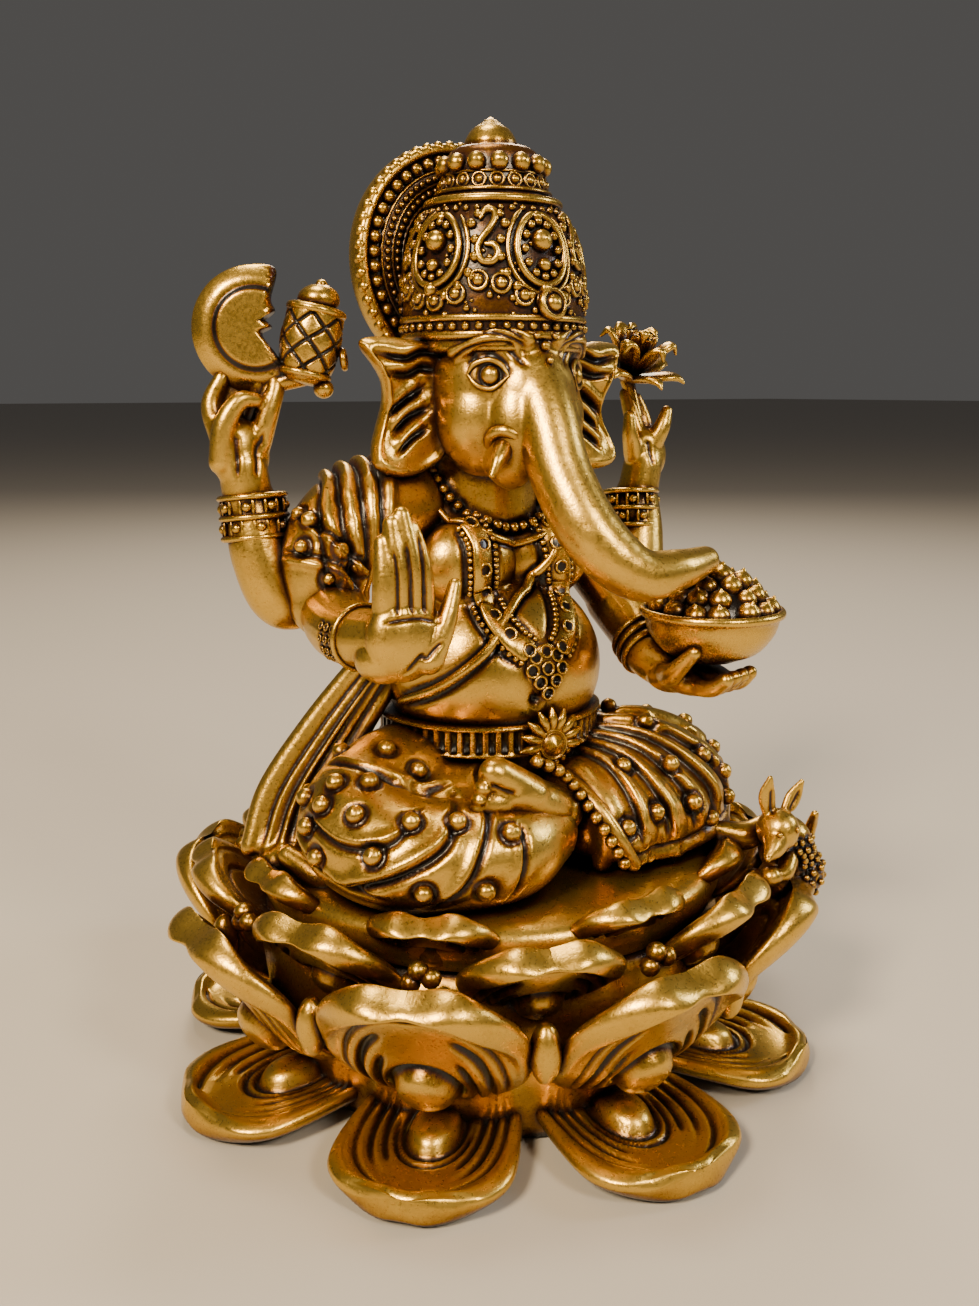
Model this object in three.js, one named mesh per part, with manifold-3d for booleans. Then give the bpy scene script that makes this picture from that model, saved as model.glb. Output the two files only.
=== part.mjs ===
// A seated Ganesha idol on a lotus base, cast in resin and painted antique gold.
// Millimetres, +Z up. The figure looks along -Y and its own left side is +X. The origin is
// the centre of the flat underside of the lotus, on the surface that the idol stands on.
//
// Each piece is a closed solid. Pieces are listed from the base upwards, and each one is
// trimmed by every earlier piece that it sinks into, with CLEARANCE left between the two.

import * as THREE from 'three';
import { mergeVertices } from 'three/addons/utils/BufferGeometryUtils.js';
import Module from 'manifold-3d';

const wasm = await Module();
wasm.setup();

// ---- Driving dimensions ---------------------------------------------------------------

const CLEARANCE = 0.3; // gap between two pieces that touch

// Lotus base
const PETALS = 8; // petals in each tier
const CORE_RADIUS = 30;
const CORE_HEIGHT = 29;
const RECEPTACLE_RADIUS = 37;
const SEAT_HEIGHT = 37; // top of the receptacle, where the figure sits
const LOWER_REACH = 52.5; // tip radius of the petals that lie on the table
const MIDDLE_REACH = 52.5;
const UPPER_REACH = 48.5;
const MIDDLE_TIP_RISE = 34.5;
const UPPER_TIP_RISE = 39;
const PETAL_HALF_WIDTH = 13;
const PETAL_THICKNESS = 3.2;

// Trunk of the body, measured from the seat
const HIP_RISE = 12;
const BELLY_RISE = 30;
const BELLY_RADIUS = 18;
const BELLY_DEPTH = 15.5;
const SHOULDER_RISE = 54;
const SHOULDER_HALF = 17; // half of the distance between the shoulder joints
const SHOULDER_SET_BACK = 5;
const BELT_RISE = 20.5;
const BELT_THICKNESS = 1.6;
const BELT_HEIGHT = 4.4;

// Head, measured from the seat
const HEAD_RISE = 74;
const HEAD_HALF_WIDTH = 12.6;
const HEAD_SET_FORWARD = 3;
const TRUNK_ROOT_RADIUS = 6.6;
const TRUNK_TIP_RADIUS = 2.4;
const EAR_SPREAD = 14.5;
const EAR_HEIGHT = 21;
const EAR_THICKNESS = 3;
const CROWN_RADIUS = 13.8;
const CROWN_HEIGHT = 26.5;
const FINIAL_RADIUS = 4.8;
const FINIAL_HEIGHT = 5;
const HALO_RADIUS = 18.5;
const HALO_THICKNESS = 4;

// Limbs
const ARM_RADIUS = 5.4;
const WRIST_RADIUS = 4;
const BANGLE_RADIUS = 5.3;
const BANGLE_HEIGHT = 5;
const THIGH_RADIUS = 9.5;
const SHIN_RADIUS = 7.5;

// Held things
const AXE_RADIUS = 6;
const AXE_THICKNESS = 4.5;
const BUNDLE_RADIUS = 4.2;
const BUNDLE_LENGTH = 12;
const BOWL_RADIUS = 10.6;
const BOWL_DEPTH = 7.8;
const HEAP_HEIGHT = 9;
const HELD_LOTUS_RADIUS = 7.5;
const LEAVES = 7; // petals of the held lotus
const MOUSE_HEIGHT = 20;

// ---- Shapes ---------------------------------------------------------------------------

const vec = (x, y, z) => new THREE.Vector3(x, y, z);
const radians = THREE.MathUtils.degToRad;
const mix = THREE.MathUtils.lerp;

/** A closed three.js geometry as a solid. */
function solid(geometry) {
  const bare = geometry.index ? geometry.toNonIndexed() : geometry.clone();
  bare.deleteAttribute('normal');
  bare.deleteAttribute('uv');
  const merged = mergeVertices(bare, 1e-4);
  return new wasm.Manifold(new wasm.Mesh({
    numProp: 3,
    vertProperties: merged.attributes.position.array,
    triVerts: new Uint32Array(merged.index.array),
  }));
}

/** Moves every vertex of a geometry to where a function sends it. */
function bend(geometry, place) {
  const position = geometry.attributes.position;
  for (let i = 0; i < position.count; i += 1) {
    const p = place(position.getX(i), position.getY(i), position.getZ(i));
    position.setXYZ(i, p.x, p.y, p.z);
  }
  return geometry;
}

const union = (parts) => parts.reduce((whole, part) => whole.add(part));

/** A ball stretched to three radii and turned about X, then Y, then Z. */
function ellipsoid(centre, radii, turn = [0, 0, 0], sides = 10) {
  const euler = new THREE.Euler(...turn.map(radians));
  const rotation = new THREE.Quaternion().setFromEuler(euler);
  const matrix = new THREE.Matrix4().compose(centre, rotation, vec(...radii));
  const rings = Math.round(sides * 0.7);
  return solid(new THREE.SphereGeometry(1, sides, rings).applyMatrix4(matrix));
}

/**
 * A limb with round ends, carried along a smooth curve through its stations. Each station is
 * a point, the half-width across and the half-width along `flat`, square to the curve.
 */
function limb(stations, { flat = vec(0, -1, 0), sides = 8, steps = 2, cap = 1 } = {}) {
  const curve = new THREE.CatmullRomCurve3(stations.map(([at]) => at), false, 'centripetal');
  const spans = stations.length - 1;
  const widthAt = (t, k) => {
    const i = Math.min(Math.floor(t * spans), spans - 1);
    const value = (n) => stations[n][k] ?? stations[n][1];
    return mix(value(i), value(i + 1), t * spans - i);
  };
  const capsule = new THREE.CapsuleGeometry(1, 2, cap, sides, spans * steps);
  return solid(bend(capsule, (x, y, z) => {
    const t = THREE.MathUtils.clamp((y + 1) / 2, 0, 1);
    const beyond = y - THREE.MathUtils.clamp(y, -1, 1);
    const along = curve.getTangent(t);
    const across = new THREE.Vector3().crossVectors(along, flat).normalize();
    const third = new THREE.Vector3().crossVectors(across, along);
    const reach = Math.min(widthAt(t, 1), widthAt(t, 2));
    return curve.getPoint(t)
      .addScaledVector(across, x * widthAt(t, 1))
      .addScaledVector(third, z * widthAt(t, 2))
      .addScaledVector(along, beyond * reach);
  }));
}

/** A profile of [radius, height] points turned about a vertical axis through a point. */
function turned(profile, centre = vec(0, 0, 0), sides = 24) {
  const points = profile.map(([r, z]) => new THREE.Vector2(r, z));
  const geometry = new THREE.LatheGeometry(points, sides).rotateX(Math.PI / 2);
  return solid(geometry.translate(centre.x, centre.y, centre.z));
}

/** An outline of [across, up] points, smoothed, with a thickness along its own normal. */
function plate(outline, thickness, matrix) {
  const shape = new THREE.Shape();
  shape.moveTo(...outline[0]);
  shape.splineThru(outline.slice(1).map(([x, y]) => new THREE.Vector2(x, y)));
  const settings = { depth: thickness, bevelEnabled: false, curveSegments: 2 };
  const geometry = new THREE.ExtrudeGeometry(shape, settings);
  return solid(geometry.translate(0, 0, -thickness / 2).applyMatrix4(matrix));
}

/** The place and turn of a piece: at a point, turned about X, Y and Z. */
function placed(at, turn = [0, 0, 0]) {
  const rotation = new THREE.Quaternion().setFromEuler(new THREE.Euler(...turn.map(radians)));
  return new THREE.Matrix4().compose(at, rotation, vec(1, 1, 1));
}

/**
 * A petal: a thin slab bent along a spine of [radius, height, half-width] stations, with its
 * two sides lifted by `cup`, standing at an angle from the front of the lotus. Its grid is
 * counted across and along.
 */
function petal(spine, cup, angle, [wide, long] = [4, 4]) {
  const curve = new THREE.CatmullRomCurve3(spine.map(([r, z, w]) => vec(r, z, w)));
  const slab = new THREE.BoxGeometry(2, 1, 1, wide, long, 1);
  return solid(bend(slab, (u, y, side) => {
    const t = y + 0.5;
    const { x: r, y: z, z: half } = curve.getPoint(t);
    const slope = curve.getTangent(t);
    const steep = Math.atan2(slope.y, slope.x);
    const rise = cup * u * u + side * PETAL_THICKNESS * (1 - 0.35 * u * u);
    const radius = r - rise * Math.sin(steep);
    const height = Math.max(0, z + rise * Math.cos(steep));
    const out = vec(Math.sin(angle), -Math.cos(angle), 0);
    const across = vec(Math.cos(angle), Math.sin(angle), 0);
    return vec(0, 0, height).addScaledVector(out, radius).addScaledVector(across, -half * u);
  }));
}

/** The same solid with every face moved out by a distance. */
function grown(body, distance) {
  const mesh = body.getMesh();
  const { numProp, triVerts } = mesh;
  const count = mesh.vertProperties.length / numProp;
  const corner = (i) => vec(...mesh.vertProperties.subarray(i * numProp, i * numProp + 3));
  const faces = [];
  const sums = Array.from({ length: count }, () => vec(0, 0, 0));
  for (let i = 0; i < triVerts.length; i += 3) {
    const ids = [...triVerts.subarray(i, i + 3)];
    const [a, b, c] = ids.map(corner);
    const normal = b.clone().sub(a).cross(c.sub(a));
    ids.forEach((id) => sums[id].add(normal));
    faces.push([ids, normal.clone().normalize()]);
  }
  sums.forEach((sum) => sum.normalize());
  const least = new Array(count).fill(1);
  for (const [ids, normal] of faces) {
    ids.forEach((id) => { least[id] = Math.min(least[id], sums[id].dot(normal)); });
  }
  const vertProperties = new Float32Array(count * 3);
  sums.forEach((sum, id) => {
    const moved = corner(id).addScaledVector(sum, distance / Math.max(least[id], 0.4));
    vertProperties.set(moved.toArray(), id * 3);
  });
  return new wasm.Manifold(new wasm.Mesh({ numProp: 3, vertProperties, triVerts }));
}

/** The largest separate body of a solid, which drops the crumbs that trimming leaves. */
function mainBody(body) {
  return body.decompose().sort((a, b) => b.volume() - a.volume())[0];
}

// ---- Finishes -------------------------------------------------------------------------

const FINISHES = {
  figure_gold: { color: 0xb5893a, roughness: 0.38, metalness: 0.9 },
  lotus_gold: { color: 0xa97f35, roughness: 0.42, metalness: 0.9 },
  cloth_gold: { color: 0xa87a30, roughness: 0.44, metalness: 0.9 },
  ornament_gold: { color: 0xc79a45, roughness: 0.35, metalness: 0.9 },
};

// ---- Anchor points --------------------------------------------------------------------

/** A point of the figure: across and forward from its axis, and up from the seat. */
const seated = (x, y, rise) => vec(x, y, SEAT_HEIGHT + rise);
const off = (point, x, y, z) => point.clone().add(vec(x, y, z));

const HEAD = seated(0, -HEAD_SET_FORWARD, HEAD_RISE);
const CROWN_FOOT = off(HEAD, 0, 2, 7.5);
const FINIAL_FOOT = off(CROWN_FOOT, 0, 1, CROWN_HEIGHT);
const HALO_CENTRE = off(CROWN_FOOT, 0, CROWN_RADIUS - 1, CROWN_HEIGHT * 0.42);

/** The joints of one arm, each given from the joint before it; side is -1 right, 1 left. */
function armJoints(side, elbow, wrist, palm) {
  const shoulder = seated(side * SHOULDER_HALF, SHOULDER_SET_BACK, SHOULDER_RISE);
  const joints = { shoulder, elbow: off(shoulder, side * elbow[0], elbow[1], elbow[2]) };
  joints.wrist = off(joints.elbow, side * wrist[0], wrist[1], wrist[2]);
  joints.palm = off(joints.wrist, side * palm[0], palm[1], palm[2]);
  return joints;
}

const REAR_RIGHT = armJoints(-1, [16.5, -2, -14], [4, 5, 17], [-0.5, -1, 8]);
const REAR_LEFT = armJoints(1, [15, -1, -14], [4, 5, 14.5], [1, -2, 8]);
const FRONT_RIGHT = armJoints(-1, [13.5, -8, -13.5], [0.5, -13, -0.5], [-3, -7, 3]);
const FRONT_LEFT = armJoints(1, [6, -10, -16.5], [-1, -10, -6.5], [1.5, -9, -2.5]);

const BOWL_FOOT = off(FRONT_LEFT.palm, 1, -2, WRIST_RADIUS - 0.8);
const BOWL_RIM = off(BOWL_FOOT, 0, 0, BOWL_DEPTH);
const AXE_CENTRE = off(REAR_RIGHT.palm, -0.5, 3, 18);
const BUNDLE_CENTRE = off(REAR_RIGHT.palm, 8.5, -3, 15.5);
const HELD_LOTUS_CENTRE = off(REAR_LEFT.palm, -1.5, 4, 14.5);
const MIDDLE_ANGLE = Math.PI / 4; // the middle petal that the mouse sits on
const MOUSE_FOOT = vec(
  MIDDLE_REACH * 0.93 * Math.sin(MIDDLE_ANGLE) + 1.5,
  -MIDDLE_REACH * 0.93 * Math.cos(MIDDLE_ANGLE) + 1.5,
  MIDDLE_TIP_RISE - 2.5,
);

// ---- Pieces ---------------------------------------------------------------------------

const pieces = [];

/** Adds one piece to the idol. */
function piece(name, finish, body) {
  pieces.push({ name, finish, body });
}

/** Adds one tier of petals, numbered round the lotus from the front. */
function petalTier(name, spine, cup, firstAngle) {
  for (let i = 0; i < PETALS; i += 1) {
    const angle = firstAngle + (i * 2 * Math.PI) / PETALS;
    piece(`${name}_${i + 1}`, 'lotus_gold', petal(spine, cup, angle));
  }
}

function lotusBase() {
  const core = [
    [0, 0], [CORE_RADIUS, 0], [CORE_RADIUS, 5], [CORE_RADIUS - 2, 10],
    [CORE_RADIUS - 1, 18], [CORE_RADIUS + 2, CORE_HEIGHT], [0, CORE_HEIGHT],
  ];
  piece('lotus_core', 'lotus_gold', turned(core));
  const low = CORE_HEIGHT + CLEARANCE;
  const disc = turned([
    [0, low], [RECEPTACLE_RADIUS - 3, low], [RECEPTACLE_RADIUS, (low + SEAT_HEIGHT) / 2],
    [RECEPTACLE_RADIUS - 2, SEAT_HEIGHT - 1], [RECEPTACLE_RADIUS - 6, SEAT_HEIGHT],
    [0, SEAT_HEIGHT],
  ]);
  const inner = Array.from({ length: PETALS }, (_, i) => {
    const spine = [
      [RECEPTACLE_RADIUS - 8, SEAT_HEIGHT - 3, 7], [RECEPTACLE_RADIUS, SEAT_HEIGHT - 2, 8],
      [RECEPTACLE_RADIUS + 3.5, SEAT_HEIGHT + 0.5, 2],
    ];
    return petal(spine, 1.2, (i * 2 * Math.PI) / PETALS, [2, 2]);
  });
  piece('lotus_receptacle', 'lotus_gold', union([disc, ...inner]));
  const wide = PETAL_HALF_WIDTH;
  const flat = PETAL_THICKNESS * 0.45;
  petalTier('lower_petal', [
    [CORE_RADIUS - 4, 4, wide * 0.72], [mix(CORE_RADIUS, LOWER_REACH, 0.4), flat + 0.8, wide],
    [mix(CORE_RADIUS, LOWER_REACH, 0.78), flat, wide * 0.78], [LOWER_REACH, flat, wide * 0.14],
  ], 1.2, 0);
  const rise = MIDDLE_TIP_RISE;
  petalTier('middle_petal', [
    [CORE_RADIUS - 4, rise * 0.28, wide * 0.62], [mix(CORE_RADIUS, MIDDLE_REACH, 0.45), rise * 0.42, wide],
    [mix(CORE_RADIUS, MIDDLE_REACH, 0.88), rise * 0.78, wide], [MIDDLE_REACH, rise, wide * 0.2],
  ], 2.5, 0);
  const top = UPPER_TIP_RISE;
  petalTier('upper_petal', [
    [CORE_RADIUS + 1, top - 13, wide * 0.55], [mix(CORE_RADIUS, UPPER_REACH, 0.6), top - 9, wide * 0.8],
    [mix(CORE_RADIUS, UPPER_REACH, 0.92), top - 3, wide * 0.66], [UPPER_REACH, top, wide * 0.16],
  ], 2, Math.PI / PETALS);
}

function body() {
  const hips = ellipsoid(seated(0, 3, HIP_RISE), [BELLY_RADIUS - 0.5, BELLY_DEPTH - 1, 11.5]);
  const belly = ellipsoid(seated(0, -1, BELLY_RISE), [BELLY_RADIUS, BELLY_DEPTH, 15.5], [0, 0, 0], 14);
  const chest = ellipsoid(seated(0, 4, SHOULDER_RISE - 7), [SHOULDER_HALF - 1, 11, 13]);
  const girdle = limb([
    [seated(-SHOULDER_HALF, SHOULDER_SET_BACK, SHOULDER_RISE), 6.5],
    [seated(SHOULDER_HALF, SHOULDER_SET_BACK, SHOULDER_RISE), 6.5],
  ]);
  const neck = limb([[seated(0, 3, SHOULDER_RISE), 9], [off(HEAD, 0, 3, -9), 8]]);
  piece('torso', 'figure_gold', union([hips, belly, chest, girdle, neck]));
}

function legs() {
  for (const [name, side] of [['right_leg', -1], ['left_leg', 1]]) {
    const thigh = [
      [seated(side * 9, 2, HIP_RISE - 3), THIGH_RADIUS, THIGH_RADIUS + 1],
      [seated(side * 22, -4, 9.5), THIGH_RADIUS, THIGH_RADIUS - 1.5],
      [seated(side * 34, -9, 7.5), SHIN_RADIUS, SHIN_RADIUS - 0.5],
      [seated(side * 27, -21, 6.5), SHIN_RADIUS, SHIN_RADIUS - 1.5],
      [seated(side * 10, -25, 6.5), SHIN_RADIUS - 1, SHIN_RADIUS - 2],
      [seated(side * 4, -20, 7.5), SHIN_RADIUS - 1, SHIN_RADIUS - 2],
    ];
    const lap = ellipsoid(seated(side * 14, -12, 7), [15, 11, 7.5]);
    piece(name, 'cloth_gold', union([limb(thigh, { flat: vec(0, 0, 1) }), lap]));
  }
  const foot = limb([
    [seated(-2, -22, 11.5), 3.6, 3], [seated(-7, -23.5, 13.5), 3.8, 3],
    [seated(-12, -24.5, 16.5), 4.2, 2.6], [seated(-16, -25, 19.5), 3.8, 2],
  ], { flat: vec(0, 0, 1) });
  piece('left_foot', 'figure_gold', foot);
}

function head() {
  const skull = ellipsoid(HEAD, [HEAD_HALF_WIDTH, 12.5, 12.5], [0, 0, 0], 14);
  const brow = ellipsoid(off(HEAD, 0, -6, 4), [HEAD_HALF_WIDTH - 4, 7, 6]);
  const jaw = ellipsoid(off(HEAD, 0, -5, -9), [8.5, 8.5, 6.5]);
  piece('head', 'figure_gold', union([skull, brow, jaw]));
  piece('trunk', 'figure_gold', limb([
    [off(HEAD, 0, -8, 1), TRUNK_ROOT_RADIUS], [off(HEAD, 0, -13, -5), TRUNK_ROOT_RADIUS - 0.8],
    [off(HEAD, 0.5, -18, -13), mix(TRUNK_ROOT_RADIUS, TRUNK_TIP_RADIUS, 0.35)],
    [off(HEAD, 2.5, -23, -22), mix(TRUNK_ROOT_RADIUS, TRUNK_TIP_RADIUS, 0.5)],
    [off(HEAD, 7.5, -27, -27.5), mix(TRUNK_ROOT_RADIUS, TRUNK_TIP_RADIUS, 0.65)],
    [off(HEAD, 14, -27.5, -26.5), mix(TRUNK_ROOT_RADIUS, TRUNK_TIP_RADIUS, 0.85)],
    [off(HEAD, 20, -26, -26), TRUNK_TIP_RADIUS],
  ], { steps: 2 }));
  const outline = [
    [0, 0.28], [0.1, 0.62], [0.55, 0.7], [1, 0.96], [0.98, 0.6], [0.78, 0.22], [0.62, -0.04],
    [0.3, 0.04], [0, 0.28],
  ].map(([x, z]) => [x * EAR_SPREAD, (z - 0.5) * EAR_HEIGHT]);
  for (const [name, side] of [['right_ear', -1], ['left_ear', 1]]) {
    const at = off(HEAD, side * (HEAD_HALF_WIDTH - 3), 0, -3);
    const turn = placed(at, [90, 0, side * 12]);
    const flip = new THREE.Matrix4().makeScale(side, 1, side);
    piece(name, 'figure_gold', plate(outline, EAR_THICKNESS, turn.multiply(flip)));
    const tusk = [
      [off(HEAD, side * 6.5, -9, -8), 2.6], [off(HEAD, side * 7.8, -12, -10), 2],
      [off(HEAD, side * 8.6, side < 0 ? -13.5 : -12.5, side < 0 ? -14 : -11.5), side < 0 ? 0.8 : 1.8],
    ];
    piece(name.replace('ear', 'tusk'), 'figure_gold', limb(tusk, { sides: 8, steps: 2 }));
  }
}

function crown() {
  const r = CROWN_RADIUS;
  const h = CROWN_HEIGHT;
  piece('crown', 'ornament_gold', turned([
    [0, -3], [r - 1, -3], [r, 0], [r, h * 0.2], [r - 1.2, h * 0.5], [r - 4, h * 0.68],
    [r * 0.56, h * 0.78], [r * 0.56, h * 0.86], [r * 0.42, h], [0, h],
  ], CROWN_FOOT, 20));
  piece('crown_finial', 'ornament_gold', turned([
    [0, CLEARANCE], [FINIAL_RADIUS * 0.8, CLEARANCE], [FINIAL_RADIUS, FINIAL_HEIGHT * 0.3],
    [FINIAL_RADIUS * 0.7, FINIAL_HEIGHT * 0.65], [FINIAL_RADIUS * 0.2, FINIAL_HEIGHT],
    [0, FINIAL_HEIGHT],
  ], FINIAL_FOOT, 12));
  const arch = new THREE.Shape();
  const drop = HALO_RADIUS * 0.75;
  arch.moveTo(-HALO_RADIUS * 0.86, -drop);
  arch.lineTo(HALO_RADIUS * 0.86, -drop);
  arch.absarc(0, 0, HALO_RADIUS, 0, Math.PI);
  const settings = { depth: HALO_THICKNESS, bevelEnabled: false, curveSegments: 14 };
  const slab = new THREE.ExtrudeGeometry(arch, settings).applyMatrix4(placed(HALO_CENTRE, [86, 0, 0]));
  piece('halo', 'ornament_gold', solid(slab));
}

/** An open hand: a flat palm, four fingers side by side and a thumb. */
function hand({ wrist, palm }, up, facing, length, curl = 0) {
  const across = new THREE.Vector3().crossVectors(up, facing).normalize();
  const tip = (spread, share) => palm.clone()
    .addScaledVector(up, length * share)
    .addScaledVector(across, spread)
    .addScaledVector(facing, curl);
  const root = (spread) => palm.clone().addScaledVector(across, spread).addScaledVector(up, 1);
  const fingers = [-3.3, -1.1, 1.1, 3.3].map((spread, i) => limb([
    [root(spread), 1.9], [tip(spread * 0.85, 0.92 + 0.06 * Math.sin(i)), 1.1],
  ], { sides: 5, steps: 1, flat: facing }));
  const flesh = limb([[wrist, WRIST_RADIUS - 0.6], [palm, 5, 2.9]], { flat: facing, cap: 2 });
  return union([flesh, ...fingers]);
}

function arms() {
  const upper = (name, { shoulder, elbow }, finish) => {
    piece(name, finish, limb([[shoulder, ARM_RADIUS + 1.4], [elbow, ARM_RADIUS]]));
  };
  const fore = ({ elbow, wrist }) => limb([[elbow, ARM_RADIUS - 0.4], [wrist, WRIST_RADIUS]]);
  const bangle = (name, { elbow, wrist }) => {
    const along = wrist.clone().sub(elbow).normalize();
    const rotation = new THREE.Quaternion().setFromUnitVectors(vec(0, 0, 1), along);
    const ring = [[WRIST_RADIUS - 1.5, 0], [BANGLE_RADIUS, 0], [BANGLE_RADIUS, BANGLE_HEIGHT]];
    const closed = [...ring, [WRIST_RADIUS - 1.5, BANGLE_HEIGHT], ring[0]];
    const points = closed.map(([r, z]) => new THREE.Vector2(r, z - BANGLE_HEIGHT / 2));
    const geometry = new THREE.LatheGeometry(points, 14).rotateX(Math.PI / 2);
    const at = wrist.clone().addScaledVector(along, -BANGLE_HEIGHT * 0.5);
    const matrix = new THREE.Matrix4().compose(at, rotation, vec(1, 1, 1));
    piece(name, 'ornament_gold', solid(geometry.applyMatrix4(matrix)));
  };
  const up = vec(0, 0, 1);
  upper('rear_right_upper_arm', REAR_RIGHT, 'figure_gold');
  upper('rear_left_upper_arm', REAR_LEFT, 'figure_gold');
  upper('front_right_upper_arm', FRONT_RIGHT, 'cloth_gold');
  upper('front_left_upper_arm', FRONT_LEFT, 'cloth_gold');
  const outward = (side) => vec(side, -0.4, 0).normalize();
  piece('rear_right_forearm', 'figure_gold', union([
    fore(REAR_RIGHT), hand(REAR_RIGHT, up, outward(-1), 13, -1),
  ]));
  piece('rear_left_forearm', 'figure_gold', union([
    fore(REAR_LEFT), hand(REAR_LEFT, up, outward(1), 10, -1),
  ]));
  const palmUp = hand(FRONT_RIGHT, up, vec(0, -1, 0), 18);
  const thumb = limb([
    [off(FRONT_RIGHT.palm, 3, -1, -2), 2.4], [off(FRONT_RIGHT.palm, 7, -2, 5), 1.4],
  ], { sides: 8, steps: 1 });
  piece('front_right_forearm', 'figure_gold', union([fore(FRONT_RIGHT), palmUp, thumb]));
  const forward = vec(0.1, -1, 0.05).normalize();
  piece('front_left_forearm', 'figure_gold', union([
    fore(FRONT_LEFT), hand(FRONT_LEFT, forward, vec(0, 0, 1), 10),
  ]));
  bangle('rear_right_bangle', REAR_RIGHT);
  bangle('rear_left_bangle', REAR_LEFT);
}

function heldThings() {
  const blade = new THREE.Shape();
  blade.absarc(0, 0, AXE_RADIUS, radians(35), radians(330));
  blade.quadraticCurveTo(AXE_RADIUS * 0.2, -AXE_RADIUS * 0.1, AXE_RADIUS * 0.82, AXE_RADIUS * 0.57);
  const settings = { depth: AXE_THICKNESS, bevelEnabled: false, curveSegments: 12 };
  const slab = new THREE.ExtrudeGeometry(blade, settings).translate(0, 0, -AXE_THICKNESS / 2);
  const shaft = limb([[off(REAR_RIGHT.palm, 0, 0, 6), 1.6], [off(AXE_CENTRE, 0.5, -0.5, 0), 1.6]]);
  const axe = solid(slab.applyMatrix4(placed(AXE_CENTRE, [90, 0, -20]))).add(shaft);
  piece('axe', 'ornament_gold', axe);
  const lean = vec(0.2, -0.05, 1).normalize();
  const end = (share) => BUNDLE_CENTRE.clone().addScaledVector(lean, share * BUNDLE_LENGTH);
  piece('bound_bundle', 'ornament_gold', limb([
    [end(-0.3), BUNDLE_RADIUS * 0.8], [end(0), BUNDLE_RADIUS], [end(0.25), BUNDLE_RADIUS * 0.8],
  ], { cap: 2 }));
  const leaves = Array.from({ length: LEAVES }, (_, i) => {
    const turn = (i * 2 * Math.PI) / LEAVES;
    const out = vec(Math.cos(turn), Math.sin(turn), 0);
    const tip = off(HELD_LOTUS_CENTRE, 0, 0, i % 2 ? 4 : 1);
    return limb([
      [off(HELD_LOTUS_CENTRE, 0, 0, -2.5).addScaledVector(out, 0.5), 2.2],
      [tip.addScaledVector(out, HELD_LOTUS_RADIUS), 0.7],
    ], { sides: 5, steps: 1, flat: vec(0.01, 0.02, 1) });
  });
  const stem = limb([[off(REAR_LEFT.palm, -1, 1, 4), 1.5], [HELD_LOTUS_CENTRE, 2]]);
  const heart = ellipsoid(off(HELD_LOTUS_CENTRE, 0, 0, 2), [3.5, 3.5, 4.5], [0, 0, 0], 10);
  piece('held_lotus', 'ornament_gold', union([stem, heart, ...leaves]));
  piece('sweets_bowl', 'ornament_gold', turned([
    [0, 0], [BOWL_RADIUS * 0.4, 0.3], [BOWL_RADIUS * 0.8, BOWL_DEPTH * 0.4],
    [BOWL_RADIUS * 0.94, BOWL_DEPTH * 0.8], [BOWL_RADIUS, BOWL_DEPTH * 0.86],
    [BOWL_RADIUS, BOWL_DEPTH], [BOWL_RADIUS - 1.5, BOWL_DEPTH], [BOWL_RADIUS - 2.4, BOWL_DEPTH - 2],
    [0, BOWL_DEPTH - 3],
  ], BOWL_FOOT, 20));
  const reach = BOWL_RADIUS - 2;
  piece('sweets_heap', 'ornament_gold', turned([
    [0, -2.6], [reach - 1.2, -1.8], [reach, 0], [reach - 0.4, 2], [reach * 0.75, HEAP_HEIGHT * 0.6],
    [reach * 0.35, HEAP_HEIGHT * 0.9], [0, HEAP_HEIGHT],
  ], BOWL_RIM, 16));
}

function dress() {
  const inner = BELLY_RADIUS - 2.5;
  const outer = BELLY_RADIUS + BELT_THICKNESS - 0.6;
  const low = BELT_RISE - BELT_HEIGHT / 2;
  const band = turned([
    [inner - 3, 0], [outer, 0], [outer, BELT_HEIGHT], [inner - 3, BELT_HEIGHT], [inner - 3, 0],
  ], seated(0, 0, low), 18);
  const oval = new THREE.Matrix4().makeScale(1, (BELLY_DEPTH + BELT_THICKNESS) / outer, 1);
  piece('waist_belt', 'ornament_gold', band.transform(oval.elements));
  const front = -(BELLY_DEPTH + BELT_THICKNESS);
  piece('belt_buckle', 'ornament_gold', ellipsoid(
    seated(0, front, BELT_RISE + 0.8), [4.6, 2, 4.2], [0, 0, 0], 12));
  const strap = (side) => limb([
    [seated(side * 11, -6.5, 56), 2.6, 1.6], [seated(side * 9, -12, 47), 2.6, 1.6],
    [seated(side * 5, -15.5, 39), 2.6, 1.6], [seated(0, -17, 33), 3.4, 1.6],
  ]);
  const pendant = ellipsoid(seated(0, -16.6, 31), [4.6, 1.8, 5.4], [0, 0, 0], 12);
  piece('garland', 'ornament_gold', union([strap(-1), strap(1), pendant]));
  piece('shawl', 'cloth_gold', limb([
    [seated(-16, 1, 36), 4, 2.4], [seated(-23, 5, 27), 6, 3], [seated(-30, 9, 14), 6, 3.4],
    [seated(-34, 9, 3), 6, 3],
  ], { flat: vec(-0.8, -0.6, 0) }));
}

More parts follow.
